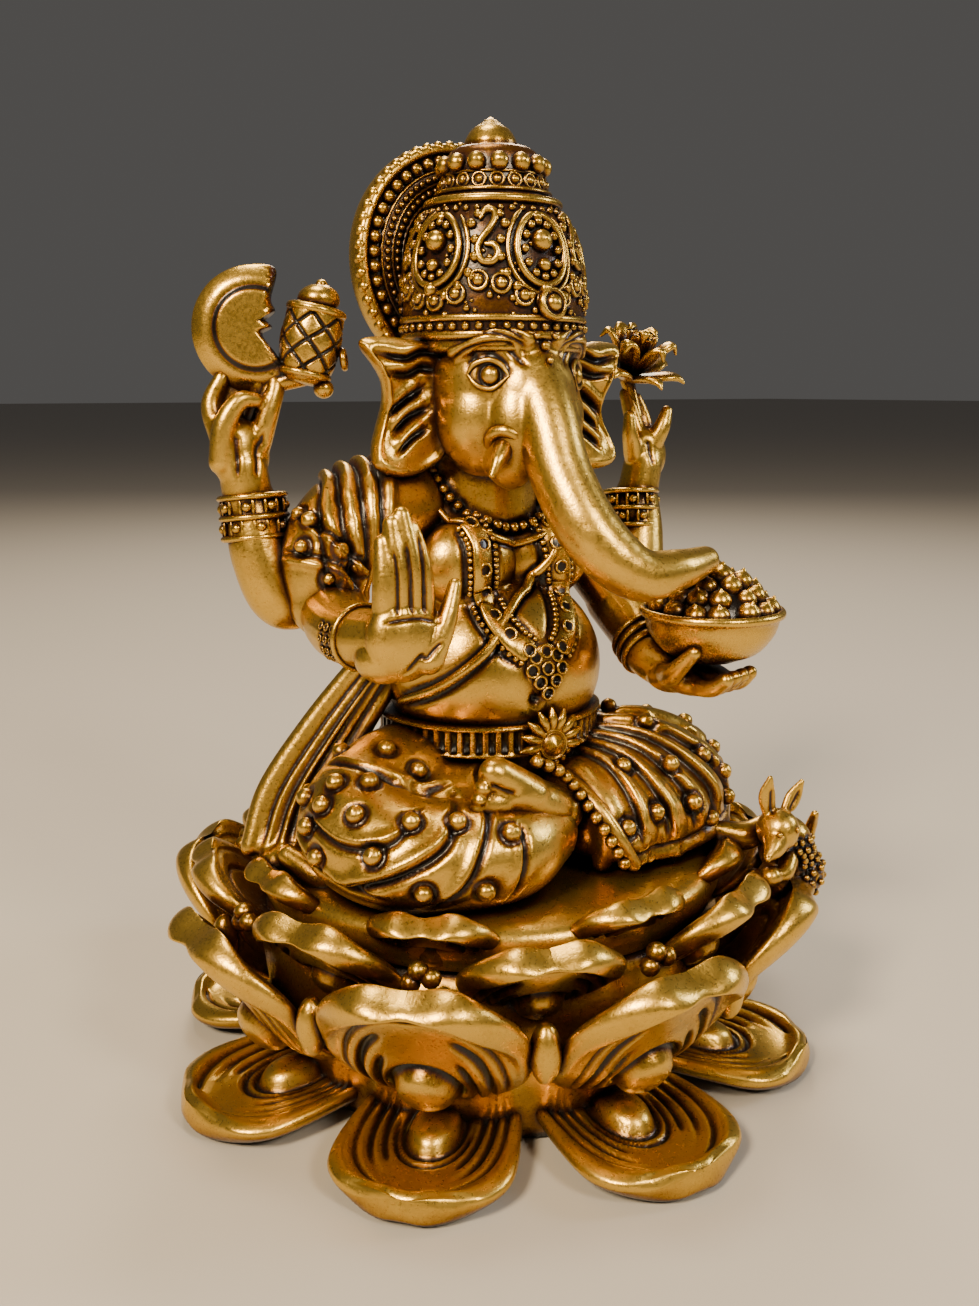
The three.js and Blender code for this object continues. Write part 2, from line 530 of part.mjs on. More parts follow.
function mouse() {
  const unit = MOUSE_HEIGHT / 20;
  const at = (x, y, z) => MOUSE_FOOT.clone().add(vec(x * unit, y * unit, z * unit));
  const trunkOfBody = limb([
    [at(1.5, 0, 3), 4 * unit], [at(0.5, -0.3, 6.5), 4.4 * unit], [at(-1.5, -0.5, 9.5), 3.2 * unit],
  ], { sides: 7, steps: 1 });
  const skull = limb([
    [at(-1, -0.6, 11), 3 * unit], [at(-6, -1.5, 8.6), 1.1 * unit],
  ], { sides: 7, steps: 1, cap: 2 });
  const ear = (x, y) => limb([
    [at(x, y, 12), 1.4 * unit, 0.9 * unit], [at(x - 0.6, y - 0.3, 16), 1.7 * unit, 0.9 * unit],
    [at(x - 0.8, y - 0.5, 19), 0.8 * unit, 0.6 * unit],
  ], { sides: 5, steps: 1 });
  const paws = limb([[at(-1, -0.5, 6), 1.6 * unit], [at(-5.5, -1.5, 5.2), 2.2 * unit]], { sides: 8 });
  const hip = ellipsoid(at(0.5, -1, 2), [5.2 * unit, 4.4 * unit, 2.6 * unit], [0, 0, 0], 10);
  piece('mouse', 'figure_gold', union([trunkOfBody, skull, ear(-1.8, -2), ear(1.5, 0.8), paws, hip]));
}

lotusBase();
body();
legs();
head();
crown();
arms();
heldThings();
dress();
mouse();

// ---- Assembly -------------------------------------------------------------------------

/** Whether the boxes of two solids come within a distance of each other. */
function near(a, b, distance) {
  const [p, q] = [a.boundingBox(), b.boundingBox()];
  return [0, 1, 2].every((k) => (
    p.min[k] <= q.max[k] + distance && q.min[k] <= p.max[k] + distance));
}

/** A piece with every earlier piece's room taken out of it. */
function trimmed(index) {
  const { body: whole } = pieces[index];
  const cutters = pieces.slice(0, index).filter((other) => near(whole, other.body, CLEARANCE));
  return mainBody(cutters.reduce((left, other) => {
    other.grown ??= grown(other.body, CLEARANCE).add(other.body);
    return left.subtract(other.grown);
  }, whole));
}

/** A solid as a named three.js mesh with its own material. */
function meshOf(name, finish, shape) {
  const { vertProperties, triVerts } = shape.getMesh();
  const geometry = new THREE.BufferGeometry();
  geometry.setAttribute('position', new THREE.BufferAttribute(vertProperties, 3));
  geometry.setIndex(new THREE.BufferAttribute(triVerts, 1));
  const mesh = new THREE.Mesh(geometry, new THREE.MeshStandardMaterial(FINISHES[finish]));
  mesh.name = name;
  return mesh;
}

const idol = new THREE.Group();
pieces.forEach(({ name, finish }, index) => idol.add(meshOf(name, finish, trimmed(index))));

export default idol;
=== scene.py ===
"""A seated Ganesha idol on a lotus, cast in resin and painted antique gold.

Everything is worked out in millimetres in the part's frame (+Z up, the figure looks along -Y)
and written to the meshes in metres. Each piece is a surface given by a formula on a grid;
the soft forms of the body and the cloth are such surfaces fused into one skin.
"""
import math

import bpy
import numpy as np
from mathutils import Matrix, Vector
from mathutils.bvhtree import BVHTree


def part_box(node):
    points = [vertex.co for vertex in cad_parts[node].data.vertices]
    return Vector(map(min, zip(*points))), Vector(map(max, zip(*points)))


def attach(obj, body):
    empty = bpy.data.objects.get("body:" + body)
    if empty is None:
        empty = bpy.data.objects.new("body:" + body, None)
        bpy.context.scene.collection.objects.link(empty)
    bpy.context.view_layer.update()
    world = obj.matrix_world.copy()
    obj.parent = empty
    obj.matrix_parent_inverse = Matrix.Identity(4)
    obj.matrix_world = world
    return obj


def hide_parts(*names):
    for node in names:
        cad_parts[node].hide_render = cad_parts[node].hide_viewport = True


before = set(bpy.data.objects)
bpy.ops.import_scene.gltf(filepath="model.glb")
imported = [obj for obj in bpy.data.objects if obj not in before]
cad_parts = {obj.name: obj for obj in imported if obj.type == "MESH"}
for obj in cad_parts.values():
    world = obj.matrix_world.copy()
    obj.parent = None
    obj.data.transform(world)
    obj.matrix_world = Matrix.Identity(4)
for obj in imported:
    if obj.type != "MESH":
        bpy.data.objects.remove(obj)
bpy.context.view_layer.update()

MM = 0.001                             # metres in a millimetre
PETALS = 8                             # in each tier of the lotus
draw = np.random.default_rng(11)

# ---- Small maths ----------------------------------------------------------------------


def arr(*values):
    """A float array."""
    return np.array(values, float)


def unit(v):
    """Vectors scaled to length one."""
    return v / np.maximum(np.linalg.norm(v, axis=-1, keepdims=True), 1e-9)


def ease(x, low, high):
    """0 below low, 1 above high, an S curve between."""
    t = np.clip((x - low) / (high - low), 0, 1)
    return t * t * (3 - 2 * t)


def bell(x, centre, width):
    """A bell curve of height one."""
    return np.exp(-(((x - centre) / width) ** 2))


def through(points, count):
    """Catmull-Rom curve through rows of numbers, evenly in its parameter."""
    p = np.asarray(points, float)
    p = np.vstack([2 * p[0] - p[1], p, 2 * p[-1] - p[-2]])
    t = np.linspace(0, len(p) - 3, count)
    i = np.minimum(t.astype(int), len(p) - 4)
    f = (t - i)[:, None]
    a, b, c, d = p[i], p[i + 1], p[i + 2], p[i + 3]
    return 0.5 * (2 * b + (c - a) * f + (2 * a - 5 * b + 4 * c - d) * f**2
                  + (3 * b - 3 * c + d - a) * f**3)


def rows_between(values, t):
    """Rows of numbers read off at parameters t from 0 to 1, smoothly."""
    fine = through(values, 200)
    at = np.linspace(0, 1, 200)
    return np.stack([np.interp(t, at, fine[:, k]) for k in range(fine.shape[1])], -1)


# ---- Places taken from the frame ------------------------------------------------------


def low(node):
    """A node's lowest corner, mm."""
    return np.array(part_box(node)[0]) / MM


def high(node):
    """A node's highest corner, mm."""
    return np.array(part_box(node)[1]) / MM


def mid(node):
    """A node's middle, mm."""
    return (low(node) + high(node)) / 2


SEAT = high("lotus_receptacle")[2] - 2.4     # top of the disc that the figure sits on
REACH = -low("lower_petal_1")[1]
TOP_REACH = -low("middle_petal_1")[1]
CROWN = mid("crown") * arr(1, 1, 0) + arr(0, 0, low("crown")[2] + 3)

# ---- Surfaces: (points, quads, triangles) ---------------------------------------------


def shell(grid):
    """Closes a grid whose columns wrap round: a fan of triangles to a pole at each end."""
    rows, cols, _ = grid.shape
    here = np.arange(rows * cols).reshape(rows, cols)
    after = np.roll(here, -1, axis=1)
    quads = np.stack([here[:-1], after[:-1], after[1:], here[1:]], -1).reshape(-1, 4)
    first, last = np.full(cols, rows * cols), np.full(cols, rows * cols + 1)
    fans = np.vstack([np.stack([first, after[0], here[0]], -1),
                      np.stack([last, here[-1], after[-1]], -1)])
    points = np.vstack([grid.reshape(-1, 3), grid[0].mean(0), grid[-1].mean(0)])
    return facing_out(points, quads, fans)


def facing_out(points, quads, tris):
    """Turns every face round where the signed volume says that they point inwards."""
    a, b, c, d = (points[quads[:, k]] for k in range(4))
    volume = (np.cross(a, b) * c).sum() + (np.cross(a, c) * d).sum()
    a, b, c = (points[tris[:, k]] for k in range(3))
    volume += (np.cross(a, b) * c).sum()
    if volume < 0:
        quads, tris = quads[:, ::-1], tris[:, ::-1]
    return points, quads, tris


def joined(surfaces):
    """Several surfaces as one set of points and faces."""
    points, quads, tris, count = [], [], [], 0
    for p, q, t in surfaces:
        points.append(p)
        quads.append(q + count)
        tris.append(t + count)
        count += len(p)
    return np.vstack(points), np.vstack(quads), np.vstack(tris)


def tube(path, radii, flat=None, sides=20, steps=40, ends=5, relief=None):
    """Ellipses carried along a smooth path, with half-round ends. radii are single widths or
    (across, along `flat`) pairs; relief(t, angle) adds to the radius."""
    path = np.asarray(path, float)
    size = np.array([np.broadcast_to(r, 2) for r in radii], float)
    line = through(np.hstack([path, size]), steps)
    cap = np.linspace(0, np.pi / 2, ends + 1)[1:]
    centre, size = line[:, :3], np.maximum(line[:, 3:], 0.02)
    along = unit(np.gradient(centre, axis=0))
    head = centre[0] - along[0] * (np.sin(cap[::-1, None]) * size[0].min())
    tail = centre[-1] + along[-1] * (np.sin(cap[:, None]) * size[-1].min())
    shrink = np.maximum(np.cos(cap), 0.04)[:, None]
    centre = np.vstack([head, centre, tail])
    size = np.vstack([size[0] * shrink[::-1], size, size[-1] * shrink])
    along = np.vstack([np.repeat(along[:1], ends, 0), along, np.repeat(along[-1:], ends, 0)])
    guide = arr(0.13, -0.31, 0.94) if flat is None else np.asarray(flat, float)
    across = np.cross(along, guide)
    if flat is None:
        across[0] = unit(across[0])
        for i in range(1, len(along)):
            across[i] = unit(across[i - 1] - along[i] * (across[i - 1] @ along[i]))
    across = unit(across)
    third = np.cross(across, along)
    angle = np.linspace(0, 2 * np.pi, sides, endpoint=False)
    extra = 0.0
    if relief is not None:
        t = np.linspace(0, 1, len(centre))[:, None]
        extra = relief(t, angle[None]) * np.minimum(1, size.min(1) / size.min(1).max())[:, None]
    grid = (centre[:, None] + across[:, None] * ((size[:, :1] + extra) * np.cos(angle))[..., None]
            + third[:, None] * ((size[:, 1:] + extra) * np.sin(angle))[..., None])
    return shell(grid)


def turned(profile, centre=(0, 0, 0), sides=64, axis=(0, 0, 1), relief=None, oval=1.0):
    """A profile of (radius, height) rows turned about an axis through a point.
    relief(height, angle) adds to the radius; oval stretches it along Y."""
    profile = np.asarray(profile, float)
    angle = np.linspace(0, 2 * np.pi, sides, endpoint=False)
    radius = np.maximum(profile[:, :1], 0.02) + np.zeros(sides)
    if relief is not None:
        radius = radius + relief(profile[:, 1:2], angle[None]) * (profile[:, :1] > 0.05)
    grid = np.stack([radius * np.cos(angle), oval * radius * np.sin(angle),
                     profile[:, 1:2] + 0 * radius], -1)
    return shell(grid @ frame_of(axis).T + np.asarray(centre, float))


def frame_of(normal):
    """A rotation whose third column is the normal."""
    n = unit(np.asarray(normal, float))
    side = unit(np.cross(arr(0, 1, 0.01) if abs(n[1]) < 0.9 else arr(1, 0, 0), n))
    return np.stack([side, np.cross(n, side), n], -1)


def ball(centre, radii, turn=None, rows=24, cols=36):
    """An ellipsoid: latitude by longitude. turn is a 3x3 rotation."""
    lat = np.linspace(0.03, np.pi - 0.03, rows)[:, None]
    lon = np.linspace(0, 2 * np.pi, cols, endpoint=False)[None]
    grid = np.stack([np.sin(lat) * np.cos(lon), np.sin(lat) * np.sin(lon),
                     np.cos(lat) + 0 * lon], -1) * np.broadcast_to(radii, 3)
    if turn is not None:
        grid = grid @ turn.T
    return shell(grid + np.asarray(centre, float))


def stamp(pattern, places, normals, sizes):
    """Copies of one small surface: each is scaled, turned so that its +Z follows the normal,
    and moved to its place."""
    points, quads, tris = pattern
    places = np.atleast_2d(places)
    normals = unit(np.broadcast_to(np.asarray(normals, float), places.shape))
    sizes = np.broadcast_to(np.asarray(sizes, float), (len(places),))
    seed = np.where(np.abs(normals[:, 1:2]) < 0.9, arr(0, 1, 0.01), arr(1, 0, 0))
    side = unit(np.cross(seed, normals))
    turns = np.stack([side, np.cross(normals, side), normals], 1)
    out = np.einsum("pk,nkj->npj", points, turns) * sizes[:, None, None] + places[:, None]
    shift = (np.arange(len(places)) * len(points))[:, None, None]
    return out.reshape(-1, 3), (quads + shift).reshape(-1, 4), (tris + shift).reshape(-1, 3)


def arc_profile(points):
    """Profile rows smoothed by a curve through them."""
    return through(points, 3 * len(points))


BEAD = ball((0, 0, 0), 1.0, rows=8, cols=12)
FINE_BEAD = ball((0, 0, 0), 1.0, rows=6, cols=8)
STUD = turned(arc_profile([(0, -0.8), (0.75, -0.7), (0.95, -0.1), (0.72, 0.62), (0, 0.98)]), sides=18)
CUP_BEAD = turned([(0, -0.4), (1, -0.4), (1.08, 0), (1, 0.3), (0.82, 0.38), (0.68, 0.2), (0.62, 0.05),
                   (0.56, 0.3), (0.4, 0.52), (0.2, 0.62), (0, 0.65)], sides=18)
PIT = turned([(0, -0.6), (1, -0.6), (1.1, 0), (1.02, 0.22), (0.86, 0.3), (0.7, 0.2), (0.62, -0.1),
              (0.5, -0.4), (0.2, -0.5), (0, -0.52)], sides=14)
SWEET = turned(arc_profile([(0, -1.0), (0.8, -0.75), (1.03, -0.1), (0.93, 0.36), (0.62, 0.7),
                            (0.28, 0.9), (0.1, 1.12), (0, 1.2)]), sides=16)

# ---- Meshes ---------------------------------------------------------------------------

finishes = {}


def mesh_of(name, surface, dark=None):
    """A smooth-shaded mesh object at the origin, its points in metres. dark is how much varnish lies at each
    point, up to 1;
    below 0 the colour there is painted brighter, painted light that stands in for light falling on it."""
    points, quads, tris = surface
    mesh = bpy.data.meshes.new(name)
    mesh.from_pydata((points * MM).tolist(), [], quads.tolist() + tris.tolist())
    mesh.shade_smooth()
    mesh.update()
    if dark is not None:
        mesh.attributes.new("varnish_and_painted_light", "FLOAT", "POINT").data.foreach_set("value", dark.ravel())
    piece = bpy.data.objects.new(name, mesh)
    bpy.context.collection.objects.link(piece)
    return piece


def fused(name, surfaces, voxel, passes):
    """Closed surfaces joined into one skin on a voxel grid, then relaxed."""
    piece = mesh_of(name, joined(surfaces))
    remesh = piece.modifiers.new("skin", "REMESH")
    remesh.mode = "VOXEL"
    remesh.voxel_size = voxel * MM
    relax = piece.modifiers.new("relax", "SMOOTH")
    relax.factor = 0.5
    relax.iterations = passes
    ready = piece.evaluated_get(bpy.context.evaluated_depsgraph_get())
    mesh = bpy.data.meshes.new_from_object(ready)
    piece.modifiers.clear()
    piece.data = mesh
    mesh.shade_smooth()
    return piece


def read(piece):
    """A mesh's points in mm and its normals."""
    mesh = piece.data
    points = np.empty(len(mesh.vertices) * 3)
    normals = np.empty(len(mesh.vertices) * 3)
    mesh.vertices.foreach_get("co", points)
    mesh.vertices.foreach_get("normal", normals)
    return points.reshape(-1, 3) / MM, normals.reshape(-1, 3)


def distance_to(points, line):
    """Each point's distance to a line of straight steps, and how far along it, 0 to 1."""
    best = np.full(len(points), 1e9)
    share = np.zeros(len(points))
    for i, (a, b) in enumerate(zip(line[:-1], line[1:])):
        step = b - a
        t = np.clip(((points - a) @ step) / max(step @ step, 1e-9), 0, 1)
        gap = np.linalg.norm(points - a - t[:, None] * step, axis=1)
        nearer = gap < best
        best = np.where(nearer, gap, best)
        share = np.where(nearer, (i + t) / (len(line) - 1), share)
    return best, share


def skin_tree(piece):
    """A search tree of a piece's faces, in mm."""
    points, _ = read(piece)
    return BVHTree.FromPolygons(points.tolist(), [tuple(f.vertices) for f in piece.data.polygons])


def carved(piece, strokes=(), pools=()):
    """Moves the skin along its normals near each stroke: a stroke is (points, width, height),
    a bell across the line that fades at its two ends; a negative height cuts and darkens.
    A pool is (points, radius): a dark sunken ring round each point."""
    points, normals = read(piece)
    tree = skin_tree(piece)
    move = np.zeros(len(points))
    dark = np.zeros(len(points))
    for path, width, height in strokes:
        line = np.array([tree.find_nearest(Vector(p))[0] for p in through(path, 6 * len(path))])
        near = ((points > line.min(0) - 3 * width) & (points < line.max(0) + 3 * width)).all(1)
        close = np.flatnonzero(near)
        gap, share = distance_to(points[close], line)
        ends = 0.35 + 0.65 * ease(share, 0, 0.12) * ease(1 - share, 0, 0.12)
        move[close] += height * bell(gap, 0, width) * ends
        if height < 0:
            dark[close] = np.maximum(dark[close], 0.85 * bell(gap, 0, 0.55 * width) * ends)
    for places, radius in pools:
        for place in np.atleast_2d(places):
            gap = np.linalg.norm(points - place, axis=1)
            ring = bell(gap, radius, 0.38)
            move -= 0.35 * ring
            dark = np.maximum(dark, 0.62 * ring)
    points += normals * move[:, None]
    piece.data.vertices.foreach_set("co", (points * MM).ravel())
    piece.data.attributes.new("varnish_and_painted_light", "FLOAT", "POINT").data.foreach_set("value", dark)
    piece.data.update()
    return piece


def folds(path, width, depth, side=(0, 0, 1)):
    """A crease in cloth: a cut with a soft roll beside it."""
    path = np.asarray(path, float)
    return [(path, width, -depth), (path + arr(*side) * 1.9 * width, 1.5 * width, 0.7 * depth)]


def settled(piece, places):
    """The nearest points of a skin to some places, with its normals there."""
    tree = skin_tree(piece)
    found = [tree.find_nearest(Vector(place)) for place in np.atleast_2d(places)]
    return np.array([f[0] for f in found]), np.array([f[1] for f in found])


def spaced(path, step, closed=False):
    """Points at equal steps along a smooth path."""
    path = [*path, path[0]] if closed else path
    line = through(path, 400)
    run = np.append(0, np.cumsum(np.linalg.norm(np.diff(line, axis=0), axis=1)))
    count = max(2, round(run[-1] / step))
    at = np.linspace(0, run[-1], count, endpoint=not closed)
    return np.stack([np.interp(at, run, line[:, k]) for k in range(3)], -1)


def inside(surface, centres, radius):
    """1 at the points of a surface that are nearer than radius to any of the centres."""
    points = surface[0]
    near = np.zeros(len(points))
    for centre in centres:
        near = np.maximum(near, np.linalg.norm(points - centre, axis=1) < radius)
    return near


def ring(centre, axis, radius, thick, tall=None, sides=72, oval=1.0):
    """A closed ring about an axis: a small ellipse carried round a circle."""
    a = np.linspace(0, 2 * np.pi, sides, endpoint=False)[:, None]
    b = np.linspace(0, 2 * np.pi, 14, endpoint=False)[None]
    r = radius + thick * np.cos(b)
    grid = np.stack([r * np.cos(a), oval * r * np.sin(a), (tall or thick) * np.sin(b) + 0 * a], -1)
    cells = np.arange(sides * 14).reshape(sides, 14)
    after, up = np.roll(cells, -1, 0), np.roll(cells, -1, 1)
    quads = np.stack([cells, after, np.roll(after, -1, 1), up], -1).reshape(-1, 4)
    points = grid.reshape(-1, 3) @ frame_of(axis).T + np.asarray(centre, float)
    return facing_out(points, quads, np.zeros((0, 3), int))


def pillow(outline, place, thick, relief=None, rows=40, cols=160, middle=(0, 0)):
    """A plate with any outline. outline is a closed row of (across, up) points; place maps
    (across, up, out) to space. Rows run from the middle of the front over the edge to the
    middle of the back. relief(across, up, share, face) adds to the half thickness."""
    edge = through([outline[-1], *outline, outline[0], outline[1]], 900)
    keep = slice(round(900 / (len(outline) + 2)), round(900 * (len(outline) + 1) / (len(outline) + 2)))
    edge = edge[keep][np.linspace(0, keep.stop - keep.start - 1, cols, endpoint=False).astype(int)]
    share = np.concatenate([np.sin(np.linspace(0.01, np.pi / 2, rows)),
                            np.sin(np.linspace(np.pi / 2, 0.01, rows))[1:]])[:, None]
    face = np.where(np.arange(2 * rows - 1) < rows, 1.0, -1.0)[:, None]
    flat = arr(*middle) + share[..., None] * (edge[None] - arr(*middle))
    half = thick * np.sqrt(np.maximum(1 - share**6, 0)) * np.ones((1, cols))
    dark = 0 * half
    if relief is not None:
        extra, dark = relief(flat[..., 0], flat[..., 1], share + 0 * half, face + 0 * half)
        half = half + extra * np.sqrt(np.maximum(1 - share**10, 0))
    out = face * half
    grid = place(flat[..., 0], flat[..., 1], out)
    return shell(grid), np.append(dark.ravel(), [0, 0])


def finish(piece, slot, nodes=(), material=None):
    """Puts a piece in service: its body, its material (the finish named by slot, or by material when that is
    given) and the CAD nodes that it replaces.
    """
    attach(piece, "root")
    if nodes:
        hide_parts(*nodes)
    piece.data.materials.clear()
    piece.data.materials.append(finishes[material or slot])
    return piece


# ---- Finishes -------------------------------------------------------------------------


def linear(code):
    """An sRGB hex colour as linear RGBA."""
    value = np.array([int(code[i:i + 2], 16) for i in (0, 2, 4)]) / 255
    value = np.where(value <= 0.04045, value / 12.92, ((value + 0.055) / 1.055) ** 2.4)
    return (*value.tolist(), 1.0)


def add(tree, kind, settings=None, **inputs):
    """Adds a node: settings are its own properties, inputs are values or sockets to link."""
    node = tree.nodes.new(kind)
    for key, value in (settings or {}).items():
        setattr(node, key, value)
    for key, value in inputs.items():
        socket = node.inputs[int(key[1:])] if key[1:].isdigit() else node.inputs[key.replace("_", " ")]
        if isinstance(value, bpy.types.NodeSocket):
            tree.links.new(value, socket)
        else:
            socket.default_value = value
    return node


def ramp(tree, factor, stops):
    """A colour ramp through (place, hex colour) stops."""
    node = add(tree, "ShaderNodeValToRGB", None, Fac=factor)
    marks = node.color_ramp.elements
    marks[0].position, marks[1].position = stops[0][0], stops[-1][0]
    marks[0].color, marks[1].color = linear(stops[0][1]), linear(stops[-1][1])
    for place, code in stops[1:-1]:
        marks.new(place).color = linear(code)
    return node.outputs["Color"]


def maths(tree, kind, *values):
    """One sum on numbers or sockets."""
    named = {f"i{k}": value for k, value in enumerate(values)}
    return add(tree, "ShaderNodeMath", {"operation": kind, "use_clamp": False}, **named).outputs[0]


def antique_gold(name, stops, wear, grain, shine, roughness=0.3):
    """Cast resin sprayed with gold paint, then washed with dark varnish that stays in the
    hollows. Seen as a bright satin metal on every crest, a red-brown undertone on the way down
    and a glossy near-black line in each groove; the paint has a fine sandy grain."""
    made = bpy.data.materials.new(name)
    made.use_nodes = True
    tree = made.node_tree
    shader = tree.nodes["Principled BSDF"]
    place = add(tree, "ShaderNodeTexCoord").outputs["Object"]
    tight = add(tree, "ShaderNodeAmbientOcclusion", {"samples": 6}, Distance=0.0016).outputs["AO"]
    wide = add(tree, "ShaderNodeAmbientOcclusion", {"samples": 6}, Distance=0.007).outputs["AO"]
    patches = add(tree, "ShaderNodeTexNoise", None, Vector=place, Scale=260.0, Detail=4.0,
                  Roughness=0.6).outputs["Fac"]
    sand = add(tree, "ShaderNodeTexNoise", None, Vector=place, Scale=2100.0, Detail=3.0,
               Roughness=0.65).outputs["Fac"]
    varnish_and_painted_light = add(tree, "ShaderNodeAttribute", {"attribute_name": "varnish_and_painted_light"}).outputs["Fac"]
    open_air = maths(tree, "MULTIPLY", maths(tree, "POWER", tight, 1.3), maths(tree, "POWER", wide, 0.55))
    # Varnish above 0 darkens the colour; below 0 it brightens it, which is painted light.
    open_air = maths(tree, "MULTIPLY", open_air, maths(tree, "SUBTRACT", 1.0, varnish_and_painted_light))
    spread = maths(tree, "MULTIPLY", maths(tree, "SUBTRACT", patches, 0.5), wear)
    speck = maths(tree, "MULTIPLY", maths(tree, "SUBTRACT", sand, 0.5), 0.22)
    level = maths(tree, "ADD", maths(tree, "ADD", open_air, spread), speck)
    colour = ramp(tree, level, stops)
    tree.links.new(colour, shader.inputs["Base Color"])
    metal = add(tree, "ShaderNodeMapRange", {"interpolation_type": "SMOOTHSTEP"}, Value=level,
                From_Min=0.38, From_Max=0.66, To_Min=0.1, To_Max=shine).outputs[0]
    tree.links.new(metal, shader.inputs["Metallic"])
    rough = add(tree, "ShaderNodeMapRange", None, Value=level, From_Min=0.3, From_Max=0.8,
                To_Min=0.3, To_Max=roughness).outputs[0]
    rough = maths(tree, "ADD", rough, maths(tree, "MULTIPLY", maths(tree, "SUBTRACT", sand, 0.5), 0.22))
    tree.links.new(rough, shader.inputs["Roughness"])
    bump = add(tree, "ShaderNodeBump", None, Strength=0.3, Distance=grain, Height=sand).outputs[0]
    lumps = add(tree, "ShaderNodeBump", None, Strength=0.3, Distance=0.0004, Height=patches,
                Normal=bump).outputs[0]
    tree.links.new(lumps, shader.inputs["Normal"])
    return made


GOLD = [(0.2, "0C0603"), (0.38, "200C05"), (0.52, "562A0D"), (0.62, "805418"), (0.78, "AE822E"),
        (1.0, "DEB44E")]
finishes["lotus_gold"] = antique_gold("antique_gold_on_petals", GOLD, 0.3, 0.00014, 0.97)
finishes["figure_gold"] = antique_gold("antique_gold_on_skin", GOLD, 0.22, 0.00012, 0.97)
finishes["cloth_gold"] = antique_gold("antique_gold_on_cloth", GOLD, 0.3, 0.00014, 0.97)
finishes["ornament_gold"] = antique_gold("antique_gold_on_ornament", GOLD, 0.2, 0.0001, 0.96, 0.27)

for name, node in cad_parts.items():
    node.data.materials.clear()
    node.data.materials.append(finishes["lotus_gold" if "petal" in name or "lotus_" in name
                                        else "figure_gold"])

# ---- The lotus ------------------------------------------------------------------------


def petal(spine, widths, cup, relief, rows, cols):
    """One petal that points to -Y. spine is (radius, height) from root to tip, widths are the
    half widths at even steps, closed by a round tip. The section is a lens whose faces are moved
    along the spine's normal by relief(s, u, x, face) -> lift, push, slide, dark; face is 1 on
    the upper or inner side and -1 on the other. Returns the grid and how dark each point is."""
    s = np.sin(np.linspace(0.0, np.pi / 2, rows)) * 0.55 + np.linspace(0, 1, rows) * 0.45
    line = rows_between(spine, s)
    length = np.linalg.norm(np.diff(line, axis=0), axis=1).sum()
    half = rows_between(np.array(widths, float)[:, None], s)[:, 0]
    tip = np.clip((s - 0.5) / 0.5, 0, 1)
    half = half * np.sqrt(np.maximum(1 - tip**2.6, 0.0) + 1e-5)
    along = unit(np.gradient(line, axis=0))
    normal = np.stack([-along[:, 1], along[:, 0]], -1)
    wave = np.linspace(-1, 3, cols, endpoint=False)
    run = np.where(wave < 1, wave, 2 - wave)
    u = (0.72 * run + 0.28 * np.sin(run * np.pi / 2))[None] * np.ones((rows, 1))
    face = np.where(wave < 1, 1.0, -1.0)[None] * np.ones((rows, 1))
    round_tip = np.sqrt(np.maximum(1 - np.clip((s - 0.9) / 0.1, 0, 1) ** 2, 0))[:, None]
    lens = np.maximum(1 - np.abs(u) ** 5, 0) ** 0.5 * round_tip
    s = s[:, None] * np.ones_like(u)
    x = u * half[:, None]
    lift, push, slide, dark = relief(s, u, x, face, length)
    off = face * lens * lift + push + cup * u**2
    radius = line[:, :1] + normal[:, :1] * off + along[:, :1] * slide
    height = line[:, 1:] + normal[:, 1:] * off + along[:, 1:] * slide
    return np.stack([x, -radius, height], -1), dark


def tier(word, offset, has_nodes, *shape):
    """Eight petals of one shape round the core, each with its own small unevenness."""
    one, one_dark = petal(*shape)
    one_dark = np.append(one_dark.ravel(), [0, 0])
    for k in range(PETALS):
        a = 2 * math.pi * k / PETALS + offset
        turn = arr([math.cos(a), -math.sin(a), 0], [math.sin(a), math.cos(a), 0], [0, 0, 1])
        grid = one * (1 + UNEVEN * draw.normal(size=3))
        piece = mesh_of(f"{word}_{k + 1}_cast", shell(grid @ turn.T), one_dark)
        finish(piece, "lotus_gold", [f"{word}_{k + 1}"] if has_nodes else [])


def arches(s, u, root):
    """A field whose level lines are arches that follow the petal's outline."""
    up = np.clip((s - root) / (1 - root), 0, 1)
    return (np.abs(u) ** 2.3 + up**2.3) ** (1 / 2.3)


def boss_relief(s, x, centre, length, radius, tall):
    """A domed boss with an arched groove round its upper side: its height and its groove."""
    far = np.sqrt((x / radius) ** 2 + ((s - centre) * length / (radius * tall)) ** 2)
    dome = np.sqrt(np.maximum(1 - far**2, 0))
    open_side = ease((s - centre) * length, -radius * 0.9, 0)
    return dome, bell(far, 1.2, 0.13) * (0.25 + 0.75 * open_side)


def lower_relief(s, u, x, face, length):
    """Lying petal: a rounded rim, a groove inside it, lines from the root and a root boss; its upper face is
    painted brighter, painted light.
    """
    top = 0.5 + 0.5 * face
    field = arches(s, u, 0.1)
    rim = bell(field, 0.97, 0.15)
    near = 1 - ease(s, 0.45, 0.72)
    lines = sum(bell(field, at, 0.03) * weight for at, weight in ((0.84, 0.8), (0.7, near), (0.57, near)))
    lines = lines * ease(np.abs(u), 0.3, 0.42)
    dome, ring = boss_relief(s, x, 0.3, length, 3.7, 1.25)
    far = np.sqrt((x / 5.6) ** 2 + ((s - 0.3) * length / 7.4) ** 2)
    outer_ring = bell(far, 1.0, 0.07) * ease((s - 0.3) * length, -2, 2)
    cut = top * np.clip(lines + ring + outer_ring, 0, 1)
    lift = 1.45 + 0.9 * rim - top * 0.7 * (1 - field**2) - 1.0 * cut + top * 2.6 * dome
    push = 0.35 * np.sin(0.45 * x + 2 * s) * ease(s, 0.72, 1)
    # Outside its cuts the upper face gets -0.7: painted light that brightens these low petals as if more
    # light fell on them.
    return lift, push, 1.0 * bell(x, 0, 6) * ease(s, 0.8, 1), cut - 0.7 * top * (1 - cut)


